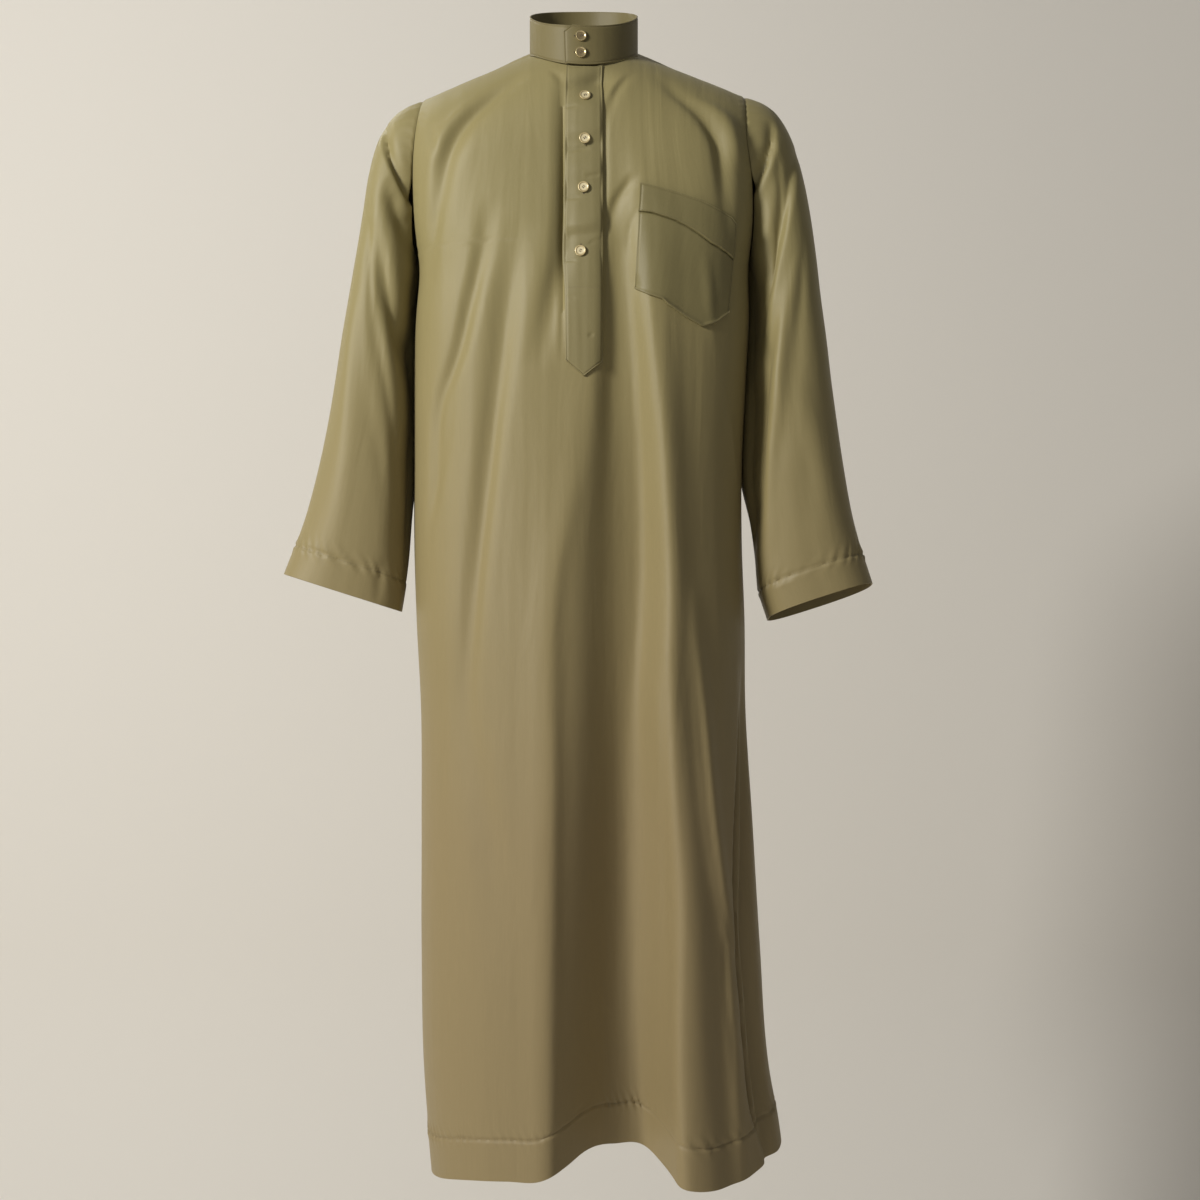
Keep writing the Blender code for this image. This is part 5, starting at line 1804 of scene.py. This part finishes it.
def stitching(name, paths, material, step=STITCH_STEP):
    """One mesh of separate threads laid along lines on the cloth."""
    base, base_faces = stitch_base()
    points = []
    faces = []
    count = 0
    for line, facing in paths:
        lengths = np.linalg.norm(np.diff(line, axis=0), axis=1)
        reached = np.concatenate([[0], np.cumsum(lengths)])
        number = int(reached[-1] / step)
        middle = (np.arange(number) + 0.5) * reached[-1] / number
        half = STITCH_LENGTH / 2
        way = interpolated(middle + half, reached, line) - interpolated(middle - half, reached, line)
        way = way / np.linalg.norm(way, axis=1, keepdims=True)
        up = interpolated(middle, reached, facing)
        up = up - way * (up * way).sum(1, keepdims=True)
        up = up / np.linalg.norm(up, axis=1, keepdims=True)
        side = np.cross(up, way)
        size = base * np.array([STITCH_LENGTH, 1, 1])
        placed = interpolated(middle, reached, line)[:, None] + way[:, None] * size[:, :1]
        placed = placed + side[:, None] * size[:, 1:2]
        placed = placed + up[:, None] * (size[:, 2:] + STITCH_RISE)
        points.append(placed.reshape(-1, 3))
        for _ in range(number):
            faces += [tuple(v + count for v in face) for face in base_faces]
            count += len(base)
    return mesh_object(name, np.concatenate(points), faces, [material])


def turning(name, outer, normal, rows, material, closed=False):
    """The turned-up layer inside a hem, from the lower edge to just past the stitching."""
    near = outer[rows] - normal[rows] * (CLOTH_WALL + TURNING_GAP)
    return cloth_wall(name, near, near - normal[rows] * TURNING_WALL, material, closed)


# Buttons and buttonholes


def rod(sides, radius, length, place=(0, 0, 0), lying=False):
    """A round rod that stands along Z, or lies along Y. Sizes and place are in mm."""
    bpy.ops.object.select_all(action="DESELECT")
    bpy.ops.mesh.primitive_cylinder_add(
        vertices=sides,
        radius=radius * MM,
        depth=length * MM,
        location=[value * MM for value in place],
        rotation=(math.pi / 2 if lying else 0, 0, 0),
    )
    return bpy.context.active_object


def joined(pieces, angle):
    """The pieces made one object, smooth at edges up to an angle in degrees."""
    pick(pieces[0])
    for piece in pieces:
        piece.select_set(True)
    bpy.ops.object.join()
    bpy.ops.object.shade_smooth_by_angle(angle=math.radians(angle))
    return pieces[0]


def turned_blank(name):
    """A button's disc with its rim and its dish, before the holes."""
    blank = rod(BUTTON_SIDES, BUTTON_RADIUS, BUTTON_THICK)
    blank.name = name
    bpy.ops.object.mode_set(mode="EDIT")
    bpy.ops.mesh.select_mode(type="FACE")
    bpy.ops.mesh.select_all(action="DESELECT")
    mesh = bmesh.from_edit_mesh(blank.data)
    for face in mesh.faces:
        face.select_set(face.normal.z > 0.9)
    bmesh.update_edit_mesh(blank.data)
    for inset, sink in BUTTON_STEPS:
        bpy.ops.mesh.inset(thickness=inset * MM, depth=-sink * MM)
    bpy.ops.object.mode_set(mode="OBJECT")
    soften = blank.modifiers.new("rounding", "BEVEL")
    soften.width = BUTTON_ROUNDING * MM
    soften.segments = 3
    soften.limit_method = "ANGLE"
    soften.angle_limit = math.radians(BUTTON_ROUNDING_ANGLE)
    bpy.ops.object.modifier_apply(modifier="rounding")
    return blank


def drill_hole(button, x, y):
    """Cuts one hole through a button."""
    drill = rod(BUTTON_HOLE_SIDES, BUTTON_HOLE_RADIUS, BUTTON_HOLE_DEPTH, (x, y, 0))
    pick(button)
    cut = button.modifiers.new("hole", "BOOLEAN")
    cut.operation = "DIFFERENCE"
    cut.solver = "EXACT"
    cut.object = drill
    bpy.ops.object.modifier_apply(modifier="hole")
    bpy.data.objects.remove(drill)


def make_button(name, rim, dish, thread):
    """A turned four-hole button with a thick rounded rim, sewn on with thread, facing +Z."""
    button = turned_blank(name)
    finishes = (rim, dish, thread)
    for finish in finishes:
        button.data.materials.append(finish)
    level = max(corner.co.z for corner in button.data.vertices) / MM - STRAND_SINK
    for x_side in (-1, 1):
        for y_side in (-1, 1):
            drill_hole(button, x_side * BUTTON_HOLE_PLACE, y_side * BUTTON_HOLE_PLACE)
    for face in button.data.polygons:
        near = math.hypot(face.center.x, face.center.y) < BUTTON_DISH_RADIUS * MM
        face.material_index = 1 if near and face.center.z > BUTTON_DISH_LEVEL * MM else 0
    pieces = [button]
    for side in (-1, 1):
        for lift, slip in STRANDS:
            place = (side * BUTTON_HOLE_PLACE + slip, 0, level + lift)
            strand = rod(STRAND_SIDES, STRAND_RADIUS, STRAND_LENGTH, place, lying=True)
            bpy.ops.object.transform_apply(location=True, rotation=True, scale=True)
            for finish in finishes:
                strand.data.materials.append(finish)
            for face in strand.data.polygons:
                face.material_index = finishes.index(thread)
            pieces.append(strand)
    return joined(pieces, BUTTON_SMOOTH_ANGLE)


def make_buttonhole(name, thread, dark):
    """A worked buttonhole: a narrow slit inside a raised ring of close stitches, along Y."""
    bpy.ops.object.select_all(action="DESELECT")
    bpy.ops.mesh.primitive_torus_add(
        major_segments=HOLE_RING_STEPS,
        minor_segments=HOLE_THREAD_SIDES,
        major_radius=HOLE_RING * MM,
        minor_radius=HOLE_THREAD * MM,
    )
    ring = bpy.context.active_object
    ring.name = name
    for corner in ring.data.vertices:
        x, y, z = corner.co / MM
        out = 1 if y >= 0 else -1
        wrap = HOLE_STITCH_WAVE * math.sin(HOLE_STITCHES * math.atan2(y, x))
        x = x * HOLE_NARROW + wrap * x
        y = y + out * (HOLE_LENGTH / 2 - HOLE_RING)
        corner.co = Vector((x, y, z * HOLE_FLAT)) * MM
    bpy.ops.mesh.primitive_cube_add(size=1 * MM)
    slit = bpy.context.active_object
    slit.scale = HOLE_SLIT
    bpy.ops.object.transform_apply(location=True, rotation=True, scale=True)
    for piece in (ring, slit):
        piece.data.materials.append(thread)
        piece.data.materials.append(dark)
    for face in slit.data.polygons:
        face.material_index = 1
    return joined([ring, slit], HOLE_SMOOTH_ANGLE)


def placed_copy(model, name, centre, normal, turn=0.0):
    """A copy with its own mesh, set down at a point in mm and facing along the normal."""
    thing = model.copy()
    thing.data = model.data.copy()
    thing.name = name
    bpy.context.scene.collection.objects.link(thing)
    facing = Vector(normal).normalized()
    up = Vector((0, 0, 1))
    side = up.cross(facing).normalized()
    up = facing.cross(side)
    place = Matrix((side, up, facing)).transposed().to_4x4()
    place.translation = Vector(centre) * MM
    thing.data.transform(place @ Matrix.Rotation(turn, 4, "Z"))
    return thing


# Materials


def new_material(name):
    """A material, its node tree and its shader."""
    material = bpy.data.materials.new(name)
    material.use_nodes = True
    tree = material.node_tree
    return material, tree, tree.nodes["Principled BSDF"]


def feed(tree, made, links, values):
    """Links sources to a node's sockets and sets values on others."""
    for key, value in values.items():
        made.inputs[key].default_value = value
    for key, source in links.items():
        tree.links.new(source, made.inputs[key])


def node(tree, kind, place, links=None, values=None, **settings):
    """A node of this kind with its settings, links and values."""
    made = tree.nodes.new("ShaderNode" + kind)
    made.location = place
    for key, value in settings.items():
        setattr(made, key, value)
    feed(tree, made, links or {}, values or {})
    return made


def stretched(tree, place, source, scale):
    """A map scaled so that a pattern runs along the threads."""
    return node(tree, "Mapping", place, {"Vector": source}, {"Scale": scale}).outputs[0]


def noise(tree, place, source, **values):
    """Soft unevenness."""
    return node(tree, "TexNoise", place, {"Vector": source}, values).outputs["Fac"]


def ranged(tree, place, source, start, end, low, high):
    """A value taken from one range to another."""
    values = {"From Min": start, "From Max": end, "To Min": low, "To Max": high}
    return node(tree, "MapRange", place, {"Value": source}, values).outputs[0]


def mixed(tree, place, factor, first, second):
    """Two colours mixed by a factor."""
    values = {"A": (*first, 1), "B": (*second, 1)}
    made = node(tree, "Mix", place, {"Factor": factor}, values, data_type="RGBA")
    return made.outputs["Result"]


def relief(tree, place, height, strength, distance, under=None):
    """The normal that a height gives, on top of the relief under it."""
    links = {"Height": height}
    if under:
        links["Normal"] = under
    values = {"Strength": strength, "Distance": distance}
    return node(tree, "Bump", place, links, values).outputs[0]


def weave_height(tree, cloth_map):
    """Height of a sateen weave: long floats over the warp, each row stepped sideways."""
    scaled = stretched(tree, (-1300, -500), cloth_map, FLOAT_SCALE)
    values = {"Scale": 1.0, "Mortar Size": 0.09, "Mortar Smooth": 0.9}
    values.update({"Brick Width": 1.0, "Row Height": 0.25})
    links = {"Vector": scaled}
    floats = node(tree, "TexBrick", (-1100, -500), links, values, offset=0.37, squash=1.0)
    return floats.outputs["Fac"]


def sateen_colour(tree, place, cloudy, slubs, lit, shade, low):
    """Olive that is a little uneven, redder towards the hem and flecked by the slubs."""
    soft = ranged(tree, (-1100, 200), cloudy, 0.3, 0.7, 0.3, 0.7)
    tone = mixed(tree, (-900, 200), soft, shade, lit)
    height = node(tree, "SeparateXYZ", (-1300, 450), {0: place}).outputs["Z"]
    down = ranged(tree, (-1100, 450), height, HEM_TONE_START, HEM_TONE_END, 0, 1)
    links = {"Factor": down, "A": tone}
    lower = node(tree, "Mix", (-700, 250), links, {"B": (*low, 1)}, data_type="RGBA")
    fleck = ranged(tree, (-900, 0), slubs, 0.3, 0.7, 0.965, 1.03)
    links = {0: lower.outputs["Result"], "Scale": fleck}
    return node(tree, "VectorMath", (-500, 150), links, operation="SCALE").outputs[0]


def sateen_material(name, lit, shade, low, sheen, tangled):
    """Smooth sateen: fine floats, faint slubs along the warp, slight cockles and a soft sheen."""
    material, tree, shader = new_material(name)
    cloth_map = node(tree, "UVMap", (-1700, 0), uv_map="cloth").outputs[0]
    place = node(tree, "TexCoord", (-1700, -300)).outputs["Object"]
    warp = stretched(tree, (-1500, 0), cloth_map, WARP_SCALE)
    slubs = noise(tree, (-1300, 0), warp, Scale=1.0, Detail=3.0, Roughness=0.6)
    weft = stretched(tree, (-1500, -200), cloth_map, WEFT_SCALE)
    threads = noise(tree, (-1300, -200), weft, Scale=1.0, Detail=2.0)
    cloudy = noise(tree, (-1300, 250), place, Scale=3.2, Detail=3.0, Roughness=0.5)
    slack = stretched(tree, (-1500, -600), cloth_map, SLACK_SCALE)
    settings = {"Scale": 1.0, "Detail": 2.5, "Roughness": 0.5, "Distortion": 0.4}
    cockle = noise(tree, (-1300, -600), slack, **settings)
    weave = relief(tree, (-500, -300), weave_height(tree, cloth_map), 0.35, 0.00006)
    tangle = relief(tree, (-300, -300), threads, tangled, 0.00025, weave)
    links = {
        "Base Color": sateen_colour(tree, place, cloudy, slubs, lit, shade, low),
        "Roughness": ranged(tree, (-700, -50), cloudy, 0.3, 0.7, 0.47, 0.57),
        "Normal": relief(tree, (-100, -300), cockle, 0.6, 0.0016, tangle),
    }
    values = {"Sheen Weight": sheen, "Sheen Roughness": 0.45, "Sheen Tint": SHEEN_TINT}
    values["Specular IOR Level"] = 0.36
    feed(tree, shader, links, values)
    return material


def button_material(name, base, dark, metallic, roughness, coat):
    """Hard button surface: cloudy colour, slight unevenness and a thin polish."""
    material, tree, shader = new_material(name)
    place = node(tree, "TexCoord", (-1100, 0)).outputs["Object"]
    cloud = noise(tree, (-900, 100), place, Scale=260.0, Detail=4.0, Roughness=0.6)
    roughest = roughness + BUTTON_UNEVENNESS
    links = {
        "Base Color": mixed(tree, (-600, 100), cloud, dark, base),
        "Roughness": ranged(tree, (-600, -150), cloud, 0, 1, roughness, roughest),
        "Normal": relief(tree, (-400, -350), cloud, 0.15, 0.0001),
    }
    values = {"Metallic": metallic, "Coat Weight": coat, "Coat Roughness": 0.15}
    feed(tree, shader, links, values)
    return material


def thread_material(name, colour, shade):
    """Twisted sewing thread."""
    material, tree, shader = new_material(name)
    place = node(tree, "TexCoord", (-1000, 0)).outputs["Object"]
    twist = noise(tree, (-800, 0), place, Scale=2600.0, Detail=2.0)
    links = {
        "Base Color": mixed(tree, (-500, 0), twist, shade, colour),
        "Normal": relief(tree, (-400, -250), twist, 0.3, 0.0001),
    }
    feed(tree, shader, links, {"Roughness": 0.6, "Sheen Weight": 0.3})
    return material


def wall_material(name, base):
    """Matt painted wall with a very faint unevenness, clear when seen from behind."""
    material, tree, shader = new_material(name)
    place = node(tree, "TexCoord", (-900, 0)).outputs["Object"]
    cloud = noise(tree, (-700, 0), place, Scale=1.1, Detail=4.0)
    shade = [value * WALL_SHADE for value in base]
    links = {"Base Color": mixed(tree, (-450, 0), cloud, shade, base)}
    feed(tree, shader, links, {"Roughness": 0.9, "Specular IOR Level": 0.1})
    behind = node(tree, "NewGeometry", (0, 300)).outputs["Backfacing"]
    clear = node(tree, "BsdfTransparent", (0, 100)).outputs[0]
    links = {0: behind, 1: shader.outputs[0], 2: clear}
    either = node(tree, "MixShader", (300, 0), links)
    tree.links.new(either.outputs[0], tree.nodes["Material Output"].inputs["Surface"])
    return material


# Studio


def sweep(wall):
    """The pale floor that curves up into the wall behind."""
    points = []
    for x in (-SWEEP_HALF_WIDTH, SWEEP_HALF_WIDTH):
        points.append((x, SWEEP_FRONT, FLOOR_HEIGHT))
        for step in range(SWEEP_STEPS + 1):
            angle = math.pi / 2 * step / SWEEP_STEPS
            y = SWEEP_BACK - SWEEP_RADIUS + SWEEP_RADIUS * math.sin(angle)
            z = FLOOR_HEIGHT + SWEEP_RADIUS - SWEEP_RADIUS * math.cos(angle)
            points.append((x, y, z))
        points.append((x, SWEEP_BACK, SWEEP_TOP))
    half = len(points) // 2
    faces = [(i, i + half, i + half + 1, i + 1) for i in range(half - 1)]
    mesh_object("studio_sweep", np.array(points), faces, [wall])


def soft_light(name, direction, far, size, spread, power, colour):
    """A round soft light that looks at the middle of the robe."""
    lamp = bpy.data.lights.new(name, "AREA")
    lamp.shape = "DISK"
    lamp.size = size
    lamp.spread = math.radians(spread)
    lamp.energy = power
    lamp.color = colour
    light = bpy.data.objects.new(name, lamp)
    bpy.context.scene.collection.objects.link(light)
    way = Vector(direction).normalized()
    light.location = Vector(LIGHT_AIM) + way * far
    light.rotation_euler = way.to_track_quat("Z", "Y").to_euler()


def studio_air():
    """Weak light from all round, and plain tones."""
    world = bpy.data.worlds.new("studio_air")
    bpy.context.scene.world = world
    world.use_nodes = True
    air = world.node_tree.nodes["Background"]
    air.inputs["Color"].default_value = AIR_COLOUR
    air.inputs["Strength"].default_value = AIR_STRENGTH
    bpy.context.scene.view_settings.view_transform = "Standard"


def thobe_camera():
    """The camera, straight in front of the robe."""
    lens = bpy.data.cameras.new("thobe_camera")
    lens.lens = CAMERA_LENS
    lens.sensor_width = CAMERA_SENSOR
    lens.clip_end = CAMERA_REACH
    camera = bpy.data.objects.new("thobe_camera", lens)
    bpy.context.scene.collection.objects.link(camera)
    camera.location = CAMERA_PLACE
    camera.rotation_euler = (math.pi / 2, 0, 0)
    bpy.context.scene.camera = camera


# The robe's pieces


def belongs(thing, slot, *nodes):
    """The piece rides the thobe's one body and stands for its CAD nodes. The slot is not used."""
    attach(thing, "root")
    if nodes:
        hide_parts(*nodes)
    return thing


def panel(side, cloth):
    """The front or the back, its turned-up hem and the line of its hem stitching."""
    front = side == "front"
    turn, climb = panel_grid(front)
    outer = body(turn, climb, front)
    normal = grid_normals(outer)
    piece = cloth_wall(f"{side}_panel", outer, outer - normal * CLOTH_WALL, cloth)
    hem = turning(f"{side}_hem_turning", outer, normal, slice(0, HEM_ROWS + 2), cloth)
    return piece, hem, grid_path(outer, normal, row=HEM_ROWS)


def panels(cloth, thread):
    """Front and back, their hems and the stitching round the hem."""
    front, front_hem, front_line = panel("front", cloth)
    back, back_hem, back_line = panel("back", cloth)
    lines = [front_line, back_line]
    hem_stitching = stitching("hem_stitching", lines, thread, HEM_STITCH_STEP)
    belongs(front, "olive_sateen", "front")
    belongs(back, "olive_sateen", "back")
    for piece in (front_hem, back_hem, hem_stitching):
        belongs(piece, "olive_sateen")
    return front, back


def sleeves(cloth, thread):
    """Both sleeves, their turned-up wrists and the stitching round each."""
    lines = []
    for side, table, folds, creases in (
        ("right", RIGHT_SLEEVE, RIGHT_SLEEVE_FOLDS, RIGHT_SLEEVE_LINES),
        ("left", LEFT_SLEEVE, LEFT_SLEEVE_FOLDS, LEFT_SLEEVE_LINES),
    ):
        to_left = side == "left"
        name = f"sleeve_{side}_tube"
        tube, outer, normal = sleeve(name, table, folds, creases, to_left, cloth)
        wrist = slice(SLEEVE_RINGS - 3, None) if to_left else slice(None, SLEEVE_RINGS - 4, -1)
        cuff = turning(f"cuff_{side}_turning", outer, normal, wrist, cloth, True)
        line, facing = grid_path(outer, normal, row=SLEEVE_RINGS - 1)
        line = np.concatenate([line, line[:1]])
        lines.append((line, np.concatenate([facing, facing[:1]])))
        belongs(tube, "olive_sateen", f"sleeve_{side}")
        belongs(cuff, "olive_sateen")
    cuff_stitching = stitching("cuff_stitching", lines, thread, HEM_STITCH_STEP)
    belongs(cuff_stitching, "olive_sateen")


def placket(cloth, thread, front):
    """The pointed placket and its stitching. Returns its outside, for the buttons."""
    outer, inner, normal = placket_grid()
    band = cloth_wall("placket_band", outer, inner, cloth)
    lines = [grid_path(outer, normal, column=STITCH_COLUMN)]
    lines.append(grid_path(outer, normal, column=-1 - STITCH_COLUMN))
    lines.append(grid_path(outer, normal, row=STITCH_COLUMN))
    low = PLACKET_RIGHT_X + STITCH_IN
    high = PLACKET_LEFT_X - STITCH_IN
    lines.append(level_path(outer, normal, PLACKET_CROSS_STITCH, low, high))
    sewn = stitching("placket_stitching", lines, thread)
    belongs(band, "olive_sateen_band", "placket")
    belongs(sewn, "olive_sateen_band")
    return outer, normal


def chest_pocket(cloth, thread):
    """The banded pocket on the wearer's left and its stitching."""
    outer, inner, normal, stitched = pocket_grid()
    patch = cloth_wall("pocket_patch", outer, inner, cloth)
    lines = [grid_path(outer, normal, column=STITCH_COLUMN)]
    lines.append(grid_path(outer, normal, column=-1 - STITCH_COLUMN))
    lines.append(grid_path(outer, normal, row=STITCH_COLUMN))
    lines.append(grid_path(outer, normal, row=stitched))
    sewn = stitching("pocket_stitching", lines, thread)
    belongs(patch, "olive_sateen", "chest_pocket")
    belongs(sewn, "olive_sateen")


def collar_stand(cloth, thread):
    """The lapped stand collar and its stitching."""
    outer, inner = collar_grid()
    normal = grid_normals(outer)
    band = cloth_wall("collar_band", outer, inner, cloth)
    lines = [grid_path(outer, normal, row=STITCH_COLUMN)]
    lines.append(grid_path(outer, normal, row=-1 - STITCH_COLUMN))
    lines.append(grid_path(outer, normal, column=STITCH_COLUMN))
    sewn = stitching("collar_stitching", lines, thread)
    belongs(band, "olive_sateen_band", "collar_stand")
    belongs(sewn, "olive_sateen_band")


def fasten(finish, where, number, models, place, turns):
    """One button on its buttonhole."""
    point, facing = place
    button_model, hole_model = models
    centre = point + facing * (BUTTON_THICK / 2 + BUTTON_SEAT)
    name = f"{finish}_button_{number}"
    button = placed_copy(button_model, name, centre, facing, turns[0])
    belongs(button, f"{finish}_button", f"{where}_button_{number}")
    name = f"{where}_buttonhole_{number}"
    belongs(placed_copy(hole_model, name, point, facing, turns[1]), "olive_sateen_band")


def buttons(finishes, threads, outer, normal):
    """Four cream buttons down the placket and two gold-rimmed ones on the collar."""
    brown = threads["brown_thread"]
    cream = (finishes["brown_gold_rim"], finishes["cream_horn"], brown)
    cream = make_button("cream_button_model", *cream)
    gold = (finishes["pale_gold_rim"], finishes["dark_gold_dish"], brown)
    gold = make_button("gold_button_model", *gold)
    shadow = threads["buttonhole_shadow"]
    hole = make_buttonhole("buttonhole_model", threads["olive_thread"], shadow)
    for number, (x, height) in enumerate(PLACKET_BUTTONS, 1):
        turns = (PLACKET_BUTTON_TURN * number, 0.0)
        place = on_grid(outer, normal, x, height)
        fasten("cream", "placket", number, (cream, hole), place, turns)
    for number, share in enumerate(COLLAR_BUTTON_SHARES, 1):
        turns = (COLLAR_BUTTON_TURN * number, math.pi / 2)
        place = collar_place(COLLAR_BUTTON_PLACE, share)
        fasten("gold", "collar", number, (gold, hole), place, turns)
    for model in (cream, gold, hole):
        bpy.data.objects.remove(model)


def robe():
    """Every piece of the thobe robe."""
    cloths = {name: sateen_material(name, *look) for name, look in SATEENS.items()}
    threads = {name: thread_material(name, *look) for name, look in THREADS.items()}
    finishes = {name: button_material(name, *look) for name, look in BUTTON_FINISHES.items()}
    thread = threads["olive_thread"]
    front, back = panels(cloths["olive_sateen"], thread)
    sleeves(cloths["olive_sateen"], thread)
    outer, normal = placket(cloths["olive_band_sateen_painted_shade"], thread, front)
    chest_pocket(cloths["olive_pocket_sateen_painted_shade"], thread)
    collar_stand(cloths["olive_collar_sateen_painted_shade"], thread)
    buttons(finishes, threads, outer, normal)


def studio():
    """Curved pale sweep, soft key light from the front left, weak fills and the camera."""
    sweep(wall_material("pale_studio_wall", WALL_COLOUR))
    for light in LIGHTS:
        soft_light(*light)
    studio_air()
    thobe_camera()


robe()
studio()
